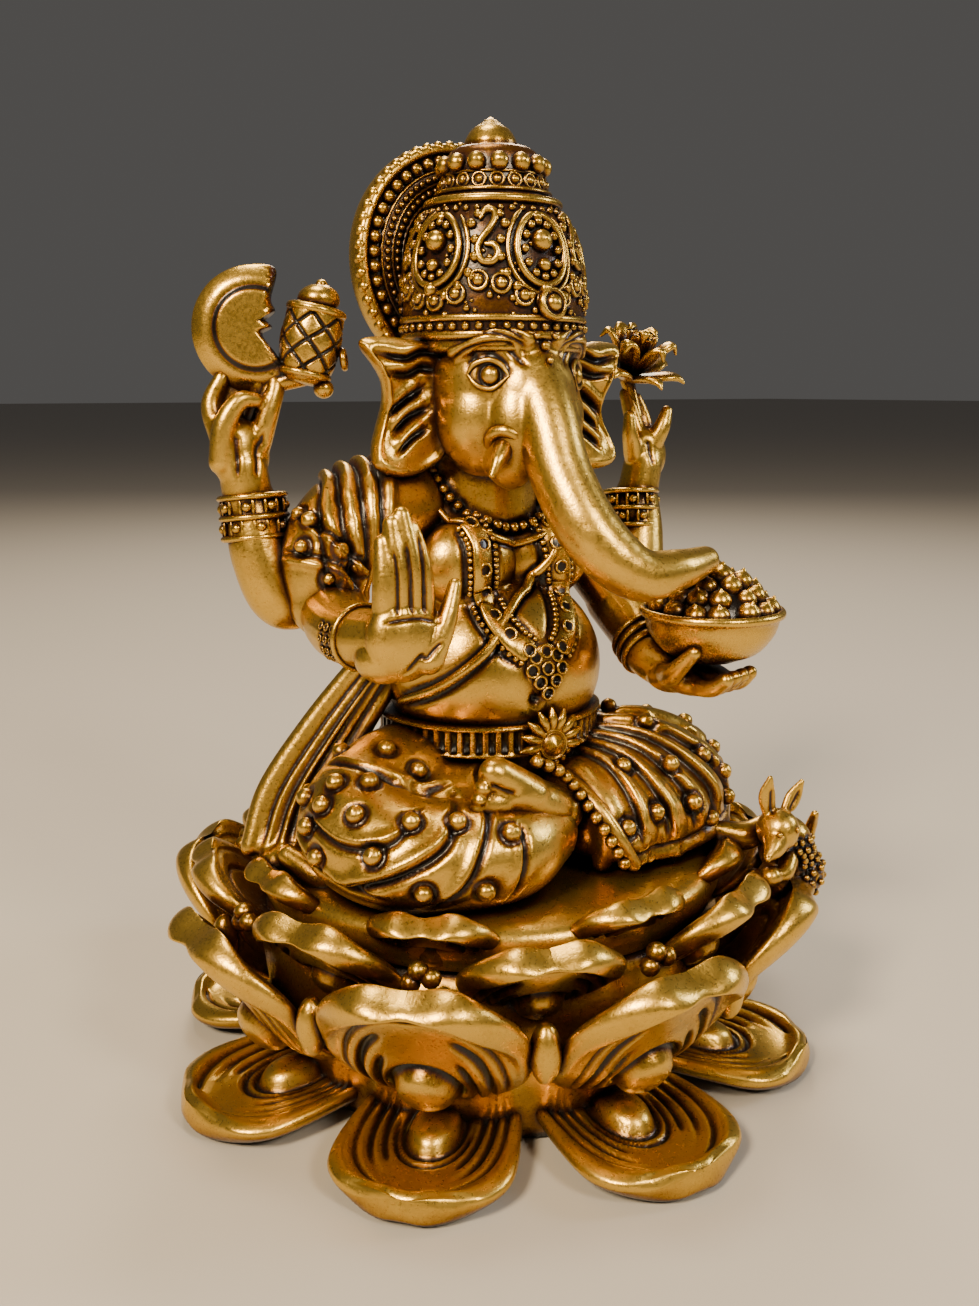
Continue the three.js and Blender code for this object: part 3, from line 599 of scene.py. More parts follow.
def standing_relief(size):
    """Standing petal: a thick lip rolled outwards in two lobes, a ringed boss and curved
    lines on the outer face, a smooth hollow inner face."""
    def relief(s, u, x, face, length):
        """Lift, push, slide and dark for a petal of this size."""
        outer = 0.5 - 0.5 * face
        field = arches(s, u, 0.22)
        lip = ease(field, 0.88, 0.98) * ease(s, 0.25, 0.75)
        dome, ring = boss_relief(s, x, 0.36, length, 4.4 * size, 1.05)
        fade = ease(np.abs(u), 0.3, 0.42) * ease(s, 0.1, 0.2)
        lines = 0.55 * bell(field, 0.8, 0.02) * ease(s, 0.2, 0.4)
        for at, top in ((0.66, 0.72), (0.5, 0.6)):
            lines = lines + bell(field, at, 0.03) * fade * (1 - ease(s, top - 0.08, top + 0.05))
        inner = bell(field, 0.62, 0.03) * ease(s, 0.3, 0.5) * 0.4
        cut = np.clip(outer * (lines + ring) + (1 - outer) * inner, 0, 1)
        lift = 1.3 + 1.15 * size * lip + outer * (0.4 * size * lip + 2.6 * size * dome) - 1.15 * cut
        push = -2.0 * size * ease(field, 0.8, 1.0) * ease(s, 0.5, 0.95)
        push = push + 0.5 * np.sin(0.3 * x + 1) * ease(s, 0.7, 1)
        slide = -2.4 * size * np.exp(-np.abs(x / (4.8 * size)) ** 2) * ease(s, 0.7, 1)
        return lift, push, slide, cut
    return relief


UNEVEN = 0.012                         # how much one petal's size differs from the next
tier("lower_petal", 0, True,
     [(23, 3.6), (32, 3.5), (40, 3.1), (46, 2.6), (REACH - 1.6, 2.5), (REACH + 1, 3.3)],
     [9.5, 12.2, 13.6, 13.6, 12.0, 10], 1.1, lower_relief, 76, 150)
tier("middle_petal", 0, True,
     [(30, 8.5), (37, 10.5), (42.5, 15.5), (46, 22), (TOP_REACH - 4, 28.5), (TOP_REACH - 1.5, 34.5)],
     [9, 12.6, 15.0, 15.6, 15.0, 14], 2.6, standing_relief(1.0), 96, 176)
tier("upper_petal", math.pi / PETALS, True,
     [(31, 23), (36.5, 25.5), (41, 29), (44.6, 33.5), (47, 38.6)],
     [8, 10.6, 12, 12, 11], 1.8, standing_relief(0.8), 70, 136)
tier("inner_petal", 0, False,
     [(27, 30), (32, 31), (36.5, 33.5), (39.5, 37), (41.3, 40.2)],
     [6.5, 8.5, 9.5, 9.4, 8.5], 1.4, standing_relief(0.68), 54, 110)

BUD_RING, BUD_HEIGHT = 44.4, 21.0      # buds fill the gaps between the middle petals
PIP_RING, PIP_HEIGHT = 44.0, 31.5      # small beads lie in threes between the upper petals
gap = (np.arange(PETALS) + 0.5) * 2 * math.pi / PETALS
spoke = np.stack([np.sin(gap), -np.cos(gap), 0 * gap], -1)
buds = joined([ball(o * BUD_RING + arr(0, 0, BUD_HEIGHT), (2.3, 2.3, 4.6), rows=16, cols=24) for o in spoke])
between = np.arange(PETALS) * 2 * math.pi / PETALS
spoke = np.stack([np.sin(between), -np.cos(between), 0 * between], -1)
pips = joined([stamp(BEAD, o * PIP_RING + arr([dx * o[1], -dx * o[0], PIP_HEIGHT + dz]), o, 1.5)
               for o in spoke for dx, dz in ((-1.6, 0.4), (1.3, -0.5), (0.2, 1.4))])
finish(mesh_of("lotus_buds", joined([buds, pips])), "lotus_gold")


def core_relief(z, a):
    """Shallow ribs down the core."""
    return 0.5 * np.cos(24 * a) * bell(z, 8, 6)


CORE = high("lotus_core")[0]
core = turned([(0, 0), (CORE - 4, 0), (CORE + 1, 0.6), (CORE + 2, 3), (CORE + 2, 6), (CORE + 3, 9),
               (CORE + 5.5, 15), (CORE + 6.5, 22), (CORE + 6, 27), (CORE + 2, 30), (0, 30)], sides=192,
              relief=core_relief)
finish(mesh_of("lotus_core_cast", core), "lotus_gold", ["lotus_core"])
seat = turned(arc_profile([(0, SEAT), (20, SEAT), (33, SEAT - 0.1), (37, SEAT - 1.0), (38.3, SEAT - 3),
                           (37.6, SEAT - 6), (33, SEAT - 8), (0, SEAT - 8.5)]), sides=160)
# The whole seat gets -0.5, which paints it brighter: painted light standing in for the light on its upper
# face.
finish(mesh_of("lotus_seat_cast", seat, np.full(len(seat[0]), -0.5)), "lotus_gold", ["lotus_receptacle"])

# ---- The body -------------------------------------------------------------------------

torso = fused("torso_cast", [
    ball((0, 3, 49), (17.5, 14.5, 11.5)), ball((0, -1, 66.5), (18.2, 16.2, 15.6), rows=48, cols=72),
    ball((0, 4, 84), (15.5, 11.5, 13)), ball((-7, -4.6, 84), (8.4, 5.6, 7)),
    ball((7, -4.6, 84), (8.4, 5.6, 7)), tube([(-16, 5, 91), (0, 5, 93.5), (16, 5, 91)], [6.5, 8, 6.5]),
    tube([(0, 3, 86), (0, 1, 104)], [9.5, 8])], 0.52, 6)

rear_right_arm = fused("rear_right_arm_cast", [
    tube([(-14, 6, 90), (-24, 5, 85), (-33.2, 4.4, 79.4), (-36.8, 5.6, 86), (-37.5, 7, 94)],
         [5.8, 5.4, 4.8, 4.5, 3.8], steps=60),
    ball((-33.8, 4.2, 79.2), (4.6, 4.6, 4.4)), ball((-38.9, 7, 101), (4.5, 2.8, 5.2)),
    tube([(-37.6, 7, 92), (-38.6, 7, 99)], [3.8, 3.6]),
    tube([(-36.2, 6.2, 102.5), (-34.7, 5.6, 107.5), (-33.4, 6, 111), (-33.8, 7.4, 113.4)],
         [1.8, 1.6, 1.4, 1.1]),
    tube([(-42, 6.6, 100), (-41.6, 6, 105), (-39.4, 5.4, 108.6), (-36.9, 5.2, 108.8)], [1.9, 1.7, 1.4, 1.1]),
    tube([(-38.4, 8.6, 104), (-38.4, 10.2, 109), (-36.9, 9.8, 112.4)], [1.8, 1.6, 1.3]),
    tube([(-41.2, 8.4, 103.5), (-41.9, 9.8, 108), (-40.3, 9.4, 112)], [1.8, 1.6, 1.2])], 0.36, 3)

rear_left_arm = fused("rear_left_arm_cast", [
    tube([(14, 6, 90), (24, 5.5, 83.5), (32.6, 4.6, 77.4), (35.8, 6.6, 84), (36.6, 8, 92)],
         [5.8, 5.5, 5.2, 4.7, 3.8], steps=60),
    ball((33, 4.6, 77.3), (4.9, 4.9, 4.6)), ball((38.4, 8, 98.6), (4.3, 2.7, 4.9)),
    tube([(36.6, 8, 91), (37.8, 8, 97)], [3.7, 3.5]),
    tube([(35.2, 7.6, 99), (33.9, 6.8, 102.5), (33.6, 6.8, 105.6)], [1.7, 1.5, 1.1]),
    tube([(39.4, 7, 101), (40.8, 6.4, 103.8), (41.9, 6.6, 106.4)], [1.8, 1.5, 1.1]),
    tube([(37.2, 8.6, 102), (36.6, 10, 106), (36, 11, 109.5)], [1.7, 1.5, 1.2]),
    tube([(39.8, 9.4, 101), (39.9, 10.8, 105), (38.6, 11.4, 108.6)], [1.7, 1.5, 1.2])], 0.36, 3)

fingers = [((-25.6, -23.2, 81), (-26.2, -23.6, 87), (-27.1, -22.9, 92.2)),
           ((-27.5, -23.4, 81), (-27.8, -23.8, 87.6), (-28.4, -22.8, 94)),
           ((-29.3, -23.2, 81), (-29.4, -23.5, 87), (-29.7, -22.5, 92.9)),
           ((-31.0, -22.6, 80.5), (-31.0, -22.8, 85.5), (-30.9, -22, 90.4))]
front_right_hand = fused("front_right_forearm_cast", [
    tube([(-28.6, -1, 79), (-30.6, -8, 77), (-31.2, -15, 76.6), (-30.4, -20, 77)], [5.2, 5.0, 4.4, 3.9]),
    ball((-28.3, -22.8, 77.4), (5.6, 3.4, 6.2)), ball((-30, -21, 74.5), (4.6, 3.8, 3.6)),
    tube([(-25.4, -24.4, 74.5), (-22.8, -24.8, 79.5), (-20.9, -24, 84.2)], [2.3, 1.5, 1.0])]
    + [tube(line, [1.85, 1.75, 1.25]) for line in fingers], 0.26, 3)

front_left_hand = fused("front_left_forearm_cast", [
    tube([(23.5, -3, 75.5), (23.2, -9, 71.5), (21.6, -15, 68.2), (22.4, -20, 66.4)], [5.2, 4.9, 4.2, 3.9]),
    ball((23.6, -24, 65.6), (5.6, 6, 2.7)), ball((22.5, -20, 65.6), (4.8, 4.4, 3)),
    tube([(19.6, -22, 66.2), (16.4, -27, 68), (16.6, -31, 71.6)], [2.2, 1.6, 1.1])]
    + [tube([(20.6 + 2.2 * k, -26, 65.2), (21 + 2.3 * k, -30.4 + 0.5 * k, 65.6),
             (21.4 + 2.3 * k, -33 + 0.7 * k, 67.2)],
            [1.6, 1.5, 1.2]) for k in range(4)], 0.3, 3)

front_left_sleeve = fused("front_left_upper_arm_cast", [
    tube([(14, 4, 92), (19.5, 1, 85), (23.4, -3, 77), (23.4, -4.6, 74.5)], [6.8, 6.2, 5.5, 5.0]),
    ball((15.5, 4.5, 91.5), (6.4, 6.4, 6))], 0.35, 6)

front_right_sleeve = fused("front_right_upper_arm_cast", [
    tube([(-14, 4, 92.5), (-22.5, 2.4, 91), (-28.4, 0.4, 86), (-29.4, -1, 79.5)], [7.6, 8.0, 7.2, 5.8]),
    ball((-21, 3.4, 91.5), (8.6, 7.4, 7.2)), ball((-29, -1, 79.6), (5.8, 5.8, 5.4))], 0.35, 8)

# ---- The crossed legs in their cloth ---------------------------------------------------

LEG = [(-9, 2, 48), (-20, -4, 48.5), (-28.6, -9.5, 46.5), (-26, -18.8, 44.6), (-14, -24.4, 44.2),
       (-5.6, -21.2, 45)]
right_leg = fused("right_leg_cast", [
    tube(LEG, [10.5, 10.4, 9.6, 8.6, 7.6, 6.8], steps=70, sides=28), ball((-14, -12, 45.5), (14, 10, 9)),
    ball((-27.6, -13, 44.4), (9, 9.4, 8.8)), ball((-7, -20, 45), (8.5, 7.5, 8))], 0.43, 9)
tops = arr((3.6, -12, 51.6), (5.6, -11.6, 53), (7.6, -11, 54), (9.6, -10.2, 54.8), (11.6, -9.2, 55.4),
           (13.6, -7.6, 55.8), (15, -5.4, 56))
ends = arr((5.4, -26.6, 40), (11, -28, 39.2), (17.4, -28.2, 39.2), (23.8, -27, 39.8), (29.6, -24.4, 41),
           (34.4, -19.6, 43), (37, -13, 45))
pleats = [[t, 0.6 * t + 0.4 * e + arr(0.6, -2.4, 4.0), 0.2 * t + 0.8 * e + arr(0.5, -1.8, 3.0), e]
          for t, e in zip(tops, ends)]
left_leg = fused("left_leg_cast", [
    tube([(9, 2, 47), (22, -4, 47), (31, -9, 45), (27, -18, 43), (15, -22, 43), (7, -20, 44)],
         [10.5, 9.8, 8.6, 7.6, 7.0, 6.2], steps=70, sides=28), ball((16, -9, 46), (14.5, 12, 8.6)),
    ball((19, -14, 44), (17, 13.5, 8.4)),
    tube([(5.6, -12, 49.6), (6, -20, 47.4), (8.4, -26, 42.4)], [3.4, 4.4, 4.0])]
    + [tube([*path[:3], path[3] + arr(0, 2.6, -1.6)], [1.7, 2.4, 3.0, 1.6], steps=50) for path in pleats],
                 0.38, 6)
foot = fused("left_foot_cast", [
    tube([(-1, -21.5, 47.5), (-6, -23.5, 49.6), (-11.5, -24.6, 53)], [3.6, 3.9, 3.4]),
    tube([(-9, -24.5, 52), (-14.8, -25, 56.4)], [3.4, 2.6]), ball((-2, -22.4, 47.6), (4, 3.6, 3.6)),
    ball((-15.4, -25.2, 57), (2.1, 2, 1.9)), ball((-17.2, -25.2, 54.8), (1.3, 1.5, 1.2)),
    ball((-17.9, -25.2, 53.2), (1.1, 1.3, 1.0)), ball((-18.2, -25.1, 51.8), (1.0, 1.2, 0.9)),
    ball((-14, -24.6, 52), (4, 2.6, 2.8))], 0.28, 3)

# ---- The head -------------------------------------------------------------------------

TRUNK = [(0, -11.5, 112), (-0.3, -16, 106), (-0.4, -20.2, 98), (1.4, -25.4, 89.8), (6.6, -29.4, 84.2),
         (13.4, -30.4, 84.4), (20, -29, 85.2)]


def trunk_wrinkles(t, a):
    """Fine rings round the lower trunk."""
    return 0.03 * np.sin(150 * t + 1.5 * np.sin(a)) * ease(t, 0.35, 0.6)


trunk = tube(TRUNK, [5.2, 4.7, 4.6, 4.6, 4.0, 3.1, 2.2], steps=120, sides=48, relief=trunk_wrinkles)
head_cast = fused("head_cast", [
    ball((0, -3, 111), (12.4, 12.2, 12.2), rows=40, cols=60), ball((0, -8, 115), (9, 7, 7)),
    ball((-4.6, -6, 106), (7.8, 7.2, 8.8)), ball((4.6, -6, 106), (7.8, 7.2, 8.8)),
    ball((-3.4, -11.2, 104.5), (4.8, 6, 9)), ball((3.4, -11.2, 104.5), (4.8, 6, 9)),
    ball((0, -7.6, 101.4), (6.8, 6.8, 5)), ball((0, -11, 109), (7.4, 6.6, 8.4)), trunk,
    tube([(-2.5, -14.4, 117.5), (-7.4, -12.6, 118), (-11.4, -8, 115.6)], [1.2, 1.5, 1.1]),
    tube([(2.5, -14.4, 117.5), (7.4, -12.6, 118), (11.4, -8, 115.6)], [1.2, 1.5, 1.1])], 0.34, 16)

# ---- Crown and finial -----------------------------------------------------------------

FOOT = low("crown")[2] + 3
crown_profile = arc_profile([(0, -3), (12.6, -3), (13.6, -1), (13.9, 2), (13.7, 6), (13.0, 10.5), (11.8, 15),
                             (10.1, 18), (8.6, 20.2), (7.6, 22), (7.2, 24.5), (5.8, 27), (0, 27.4)])
crown = turned(crown_profile, (0, CROWN[1], FOOT), sides=200)

# ---- Cloth: studs, pleats and creases ---------------------------------------------------

UP = arr(0, 0, 1)
RIGHT_STUDS = arr((-24, -9, 58), (-33.6, -11, 54.8), (-29.6, -14.3, 55.4), (-20.7, -13.2, 55),
                  (-36, -12, 51.8), (-33.9, -18, 52), (-37, -10.5, 48.4), (-37, -13.5, 45),
                  (-33.2, -22.4, 47), (-28, -23.6, 51.4), (-22, -26, 50.6), (-28, -27, 42),
                  (-15.4, -29.6, 49), (-19.8, -29.6, 42), (-37, -6, 52), (-28, -2, 56), (-33, 0, 50))
LEFT_STUDS = arr((5.4, -14, 54), (10.4, -22, 52), (6.8, -27.4, 44.6), (12.4, -28, 46.4), (21, -14.6, 56),
                 (18.6, -24, 52), (28, -21.8, 51.6), (20.4, -27.6, 46.6), (25, -27.8, 43), (33, -23.6, 48.4),
                 (32, -25.6, 45), (19, -7.6, 57.6), (26, -9, 56.4), (36, -16, 50.6), (32, -12, 54.4),
                 (37, -9, 48), (30, -1, 54))
right_strokes = (folds([(-36.4, -18, 41), (-31, -25.4, 44.3), (-24.2, -27.4, 48.6), (-18, -19, 53)], 0.8, 1.5)
                 + folds([(-26.5, -27.5, 38.6), (-22.4, -29.4, 43), (-18.6, -28.6, 49.6), (-16, -24, 52)],
                         0.75, 1.4)
                 + folds([(-16.6, -29.6, 38.4), (-14.4, -30, 44), (-13.4, -29, 49.6)], 0.6, 1.0,
                         (-0.8, 0, 0.4))
                 + folds([(-32, -3, 56), (-30, -10, 57), (-24, -16, 55), (-18, -16.8, 53.6)], 0.7, 1.0)
                 + folds([(-38, -10, 50), (-36, -18.4, 47.6), (-31, -23.6, 48.6), (-25, -22, 52)], 0.6, 0.9)
                 + folds([(-38, -6, 46), (-37, -15, 42.6), (-32, -23, 40.4)], 0.6, 0.9)
                 + folds([(-8, -12, 54), (-13, -17, 53.6), (-12, -24, 51)], 0.6, 0.9))
left_strokes = []
for one, two in zip(pleats[:-1], pleats[1:]):
    left_strokes += folds([0.5 * (p + q) + arr(0.6, -1.6, 2.6) for p, q in zip(one, two)], 0.6, 0.9,
                          (0.7, 0, 0.6))
left_strokes += [([(4, -29.6, 38.4), (12, -31, 37.4), (20, -30.8, 37.6), (28, -28, 39), (34, -24, 41)], 0.9,
                  0.9),
                 ([(4, -29.6, 41), (12, -31, 40), (20, -30.8, 40.2), (28, -28, 41.4), (34, -24, 43.4)], 0.4,
                  -0.6),
                 ([(18, -4, 57), (30, -5, 54.6), (38, -8, 48)], 0.7, -1.0),
                 ([(16, 2, 55), (28, 3, 51.6), (36, 1, 45)], 0.7, -0.9)]
right_studs, right_out = settled(right_leg, RIGHT_STUDS)
left_studs, left_out = settled(left_leg, LEFT_STUDS)
finish(carved(right_leg, right_strokes, [(right_studs, 1.7)]), "cloth_gold", ["right_leg"])
finish(carved(left_leg, left_strokes, [(left_studs, 1.7)]), "cloth_gold", ["left_leg"])
hem_line, hem_out = settled(left_leg, [(1.0, -19, 52), (2.2, -25, 49.4), (4.2, -29, 45), (6.8, -30.5, 39.6)])
edge = hem_line[1:] + arr(-2.0, -0.3, 0.5)
pleat = spaced([(-7.6, -24.8, 57), (-4.2, -25, 55.4), (-1.4, -24.4, 53), *edge], 2.0)
hem = tube(hem_line + 0.3 * hem_out, [0.9, 1.2, 1.2, 1.1], steps=30)
finish(mesh_of("cloth_studs", joined([
    stamp(STUD, right_studs, right_out, 1.5), stamp(STUD, left_studs, left_out, 1.5),
    stamp(BEAD, pleat, (-0.3, -1, 0.2), 1.0), hem])), "cloth_gold")
finish(carved(foot, [([(-16.4, -26.4, 55.6), (-13, -26.6, 54)], 0.4, -0.5)]), "figure_gold", ["left_foot"])

ACROSS = arr(0.84, -0.54, 0)           # the way in which the shawl's ropes lie side by side
SHAWL = arr((-15.4, 0, 73.5), (-19, 2.6, 67), (-25, 5, 58), (-31.5, 6.4, 48), (-35.5, 5.4, 39.6))
SPREAD = arr(1.1, 1.7, 2.1, 2.3, 2.2)  # from rope to rope along the shawl, mm
ropes = []
for k in (-2, -1, 0, 1, 2):
    line = SHAWL + (SPREAD * k)[:, None] * ACROSS + arr(0, 0.5 * abs(k), 0)
    ropes.append(tube(line, [1.3, 1.6, 1.8, 1.9, 1.6], steps=50))
ropes.append(ball((-34.5, 4.5, 38.4), (4.6, 3.6, 2.6)))
ropes.append(tube([(-36, 1, 40), (-33, -4, 37.6), (-30, -6, 36.8)], [1.8, 2.4, 1.4]))
ropes.append(tube([(27, -25, 40), (32, -27.5, 38.6), (36, -28.4, 40.4)], [1.6, 2.4, 1.5]))
shawl = fused("shawl_cast", ropes, 0.34, 2)
cuts = []
for k in (-1.5, -0.5, 0.5, 1.5):
    cuts.append((SHAWL + (SPREAD * k)[:, None] * ACROSS + arr(-0.9, -1.4, 0.2), 0.7, -0.6))
finish(carved(shawl, cuts), "cloth_gold", ["shawl"])

sleeve_lines = []
for k in range(4):
    shift = arr(-2.7 * k, 0.6 * k, -0.4 * k)
    line = arr((-17.6, 8, 99), (-19, 0, 98), (-21, -4.4, 93), (-21.6, -6.4, 87), (-20.8, -8, 81)) + shift
    sleeve_lines += [(line, 1.1, 1.1), (line + arr(-1.35, 0.3, -0.2), 0.42, -0.7)]
cord_a = arr((-33.6, 3, 92), (-32, -2.4, 90), (-28.8, -5.2, 86.6), (-25, -7.4, 83))
cord_b = arr((-35.6, 0, 86), (-32.6, -4.6, 85.6), (-29.4, -6.4, 84), (-26.4, -7.6, 80))
spot, spot_out = settled(front_right_sleeve, [(-31.4, -1.8, 91), (-29.2, -5, 87.4), (-27.2, -6.4, 85),
                                              (-33.8, -3, 88), (-31, -5.4, 83.6), (-33.6, 0.6, 93)])
finish(carved(front_right_sleeve, sleeve_lines + [(cord_a, 0.6, 0.8), (cord_b, 0.6, 0.8),
              (cord_a + arr(0.3, 0, 1.2), 0.4, -0.6), (cord_b + arr(0, 0, 1.2), 0.4, -0.6)],
              [(spot, 1.45)]), "cloth_gold", ["front_right_upper_arm"])
finish(mesh_of("armband_studs", stamp(STUD, spot, spot_out, arr(1.4, 1.25, 1.0, 1.1, 1.0, 1.2))),
       "cloth_gold")
finish(carved(front_left_sleeve, [([(17, -4, 96), (22, -4, 89), (25, -7, 82)], 0.9, 0.9),
              ([(20, -2, 96), (25, -2, 88), (27, -5, 80)], 0.9, 0.8),
                                  ([(18.6, -3, 96), (23.4, -3, 88.6), (26, -6, 81)],
              0.5, -0.9)]), "cloth_gold", ["front_left_upper_arm"])

# ---- Skin, necklace, garland, belt ------------------------------------------------------

right_chain = [(-8.2, -7.4, 90), (-7.6, -9.8, 87.6), (-7.7, -10.4, 84), (-7.3, -10.4, 80),
               (-6.9, -12.4, 76.4), (-5.2, -14.9, 73.2), (-3.4, -16.2, 71.6)]
left_chain = [(5.6, -8.4, 90), (5.8, -9.8, 87), (6.4, -10.6, 83.4), (6.8, -10.6, 79.4), (5.6, -13.2, 76.3),
              (4.0, -15.2, 73.2), (2.4, -16.4, 71.6)]
thread = [(6.6, -9.4, 87.4), (5.2, -10.2, 85), (2.8, -10.2, 82.4), (-0.7, -10.6, 79.9), (-5.2, -12.9, 76.7),
          (-8.7, -14.2, 72.7), (-12.3, -13, 69.3), (-15.6, -10, 66.2), (-18.2, -3, 63)]
collar = [(0, -7.2, 89.3), (-4.6, -7.0, 90.2), (-8.4, -3.6, 93.2), (-10.2, 0.8, 97.6), (-6.6, 8.4, 100.4),
          (0, 10.4, 101), (6.6, 8.4, 100.4), (10.2, 0.8, 97.6), (8.4, -3.6, 93.2), (4.6, -7.0, 90.2)]
pendant = arr((0, -16.9, 71.4), (-1.9, -16.9, 70.6), (1.9, -16.9, 70.6), (-2.6, -17, 68.6), (0, -17.3, 68.8),
              (2.6, -17, 68.6), (-1.4, -17.3, 66.8), (1.4, -17.3, 66.8), (0, -17.4, 65)) + arr(-0.6, 0, 0)
neck, neck_out = settled(torso, spaced(collar, 1.72, True))
wide_neck = settled(torso, spaced(arr(*collar) * arr(1.2, 1.12, 1) - arr(0, 0.4, 2.0), 1.0, True))[0]
right_line, right_up = settled(torso, spaced(right_chain, 1.0))
left_line, left_up = settled(torso, spaced(left_chain, 1.0))
cord, cord_out = settled(torso, spaced(thread, 1.0))
drop, drop_out = settled(torso, pendant)
pits_r, pits_r_out = settled(torso, spaced(right_chain, 3.3))
pits_l, pits_l_out = settled(torso, spaced(left_chain, 3.3))
side_r = unit(np.cross(np.gradient(right_line, axis=0), right_up))
side_l = unit(np.cross(np.gradient(left_line, axis=0), left_up))
ribs = np.vstack([right_line + 2.15 * side_r, right_line - 2.15 * side_r, left_line + 2.0 * side_l,
                  left_line - 2.0 * side_l])
ribs, ribs_out = settled(torso, ribs)
finish(carved(torso, [
    ([(-2.6, -17.2, 64.6), (-1.9, -17.2, 63.2)], 0.9, -1.8), (cord + arr(0.3, 0, -1.1), 0.55, -0.5),
    (cord + arr(0.2, 0, 1.1), 0.5, -0.4), (right_line + 2.9 * side_r, 0.5, -0.5),
    (right_line - 2.9 * side_r, 0.5, -0.5), (left_line + 2.8 * side_l, 0.5, -0.5),
    (left_line - 2.8 * side_l, 0.5, -0.5), (wide_neck[:40] + arr(0, 0, -0.9), 0.5, -0.3),
    ([(0, 16, 94), (0, 14.6, 82), (0, 14.4, 70), (0, 15.4, 60)], 1.4, -1.2)],
    [(neck, 0.95)]), "figure_gold", ["torso"])
strip_r = tube(right_line + 0.2 * right_up, [(2.1, 0.75)] * len(right_line), flat=(0.25, -1, 0.1), steps=60)
strip_l = tube(left_line + 0.2 * left_up, [(1.9, 0.75)] * len(left_line), flat=(-0.3, -1, 0.1), steps=60)
pits = np.vstack([pits_r + 0.8 * pits_r_out, pits_l + 0.8 * pits_l_out, drop + 0.55 * drop_out])
pits_out = np.vstack([pits_r_out, pits_l_out, drop_out])
garland = joined([
    strip_r, strip_l, stamp(PIT, pits, pits_out, 1.12),
    stamp(FINE_BEAD, ribs + 0.35 * ribs_out, ribs_out, 0.56),
    ball(drop.mean(0) - arr(0, -0.3, 0), (3.6, 0.9, 4)), stamp(BEAD, neck + 0.5 * neck_out, neck_out, 0.82),
    tube(np.vstack([wide_neck, wide_neck[:1]]) + 0.1 * arr(0, -1, 0),
    [0.62] * (len(wide_neck) + 1), steps=160, sides=12),
    tube(cord + 0.25 * cord_out, [0.78] * len(cord), steps=90, sides=14)])
garland_dark = inside(garland, pits, 0.74)
finish(mesh_of("garland_cast", garland, garland_dark), "ornament_gold", ["garland"])

belt_mid = mid("waist_belt")
belt_size = (high("waist_belt") - low("waist_belt")) / 2
BELT_DRAWN = 19.6                      # the radius for which the belt's rows are written
BARS = 56                              # upright bars round the belt


def belt_relief(z, a):
    """Upright bars between two rims."""
    return 0.75 * ease(np.cos(BARS * a), -0.4, 0.5) * ease(1.75 - np.abs(z), 0, 0.3)


belt = turned([(15.6, -2.5), (18.9, -2.6), (19.6, -2.3), (19.6, -1.9), (19.0, -1.65), (18.5, -1.5),
               (18.5, 1.5), (19.0, 1.65), (19.6, 1.9), (19.6, 2.3), (18.9, 2.6), (15.6, 2.5)], (0, 0, 0),
              sides=12 * BARS, relief=belt_relief, oval=belt_size[1] / belt_size[0])
around = np.arctan2(belt[0][:, 1] / (belt_size[1] / belt_size[0]), belt[0][:, 0])
belt_dark = (1 - ease(np.cos(BARS * around), -0.7, 0.0)) * (np.abs(belt[0][:, 2]) < 1.72)
belt = (belt[0] * arr(belt_size[0] / BELT_DRAWN, belt_size[0] / BELT_DRAWN, 1.0) + belt_mid, *belt[1:])
finish(mesh_of("waist_belt_cast", belt, belt_dark), "ornament_gold", ["waist_belt"])
sun = arr(0, low("waist_belt")[1] - 0.6, belt_mid[2] - 0.6)
rays = []
for k, a in enumerate(np.radians(np.linspace(-95, 95, 9))):
    way = arr(math.sin(a), 0, math.cos(a))
    rays.append(tube([sun + 2.2 * way, sun + 4.0 * way + arr(0, -0.3, 0), sun + 5.6 * way],
                     [(0.75, 0.7), (0.85, 0.7), (0.3, 0.4)], flat=(0, -1, 0.02), steps=14, sides=14))
rays.append(turned(arc_profile([(0, -0.8), (2.2, -0.7), (2.7, 0.2), (2.3, 0.9), (1.9, 0.75), (1.4, 1.2),
                                (0, 1.9)]), sun,
                   sides=40, axis=(-0.1, -1, 0.05)))
rays.append(stamp(BEAD, sun + np.stack([3.0 * np.sin(np.linspace(2, 4.3, 6)), 0 * np.arange(6) - 0.1,
                                        3.0 * np.cos(np.linspace(2, 4.3, 6))], -1), (0, -1, 0), 0.75))
finish(mesh_of("belt_buckle_cast", joined(rays)), "ornament_gold", ["belt_buckle"])

# ---- Hands and bangles ------------------------------------------------------------------

seams = [([(-26.2 - 2.05 * k, -24.9, 80.5), (-26.4 - 2.05 * k, -25.2, 86),
           (-26.6 - 1.9 * k, -24.2, 91.5 - k)], 0.32, -0.4)
         for k in range(3)]
palm_lines = [([(-32.6, -25.6, 80.4), (-28, -26.6, 80.8), (-24.6, -25.8, 80)], 0.35, -0.4),
              ([(-24.4, -26.4, 77), (-27, -27, 75.4), (-29.4, -26, 72.6)], 0.4, -0.45)]
wrist, wrist_out = settled(front_right_hand, [(-36, -12 - 1.6 * i, 72.6 + 1.9 * j) for i in range(3)
                                              for j in range(4)])
finish(carved(front_right_hand, seams + palm_lines, [(wrist, 0.4)]), "figure_gold", ["front_right_forearm"])
finish(carved(rear_right_arm, [([(-36.6, 3.6, 104), (-38, 4.4, 98)], 0.5, -0.5),
                               ([(-40.4, 4.2, 104), (-40.4, 4.4, 98)], 0.45, -0.4)]),
       "figure_gold", ["rear_right_upper_arm", "rear_right_forearm"])
finish(carved(rear_left_arm, [([(36.8, 4.6, 102), (37.6, 5, 97)], 0.45, -0.45)]), "figure_gold",
       ["rear_left_upper_arm", "rear_left_forearm"])
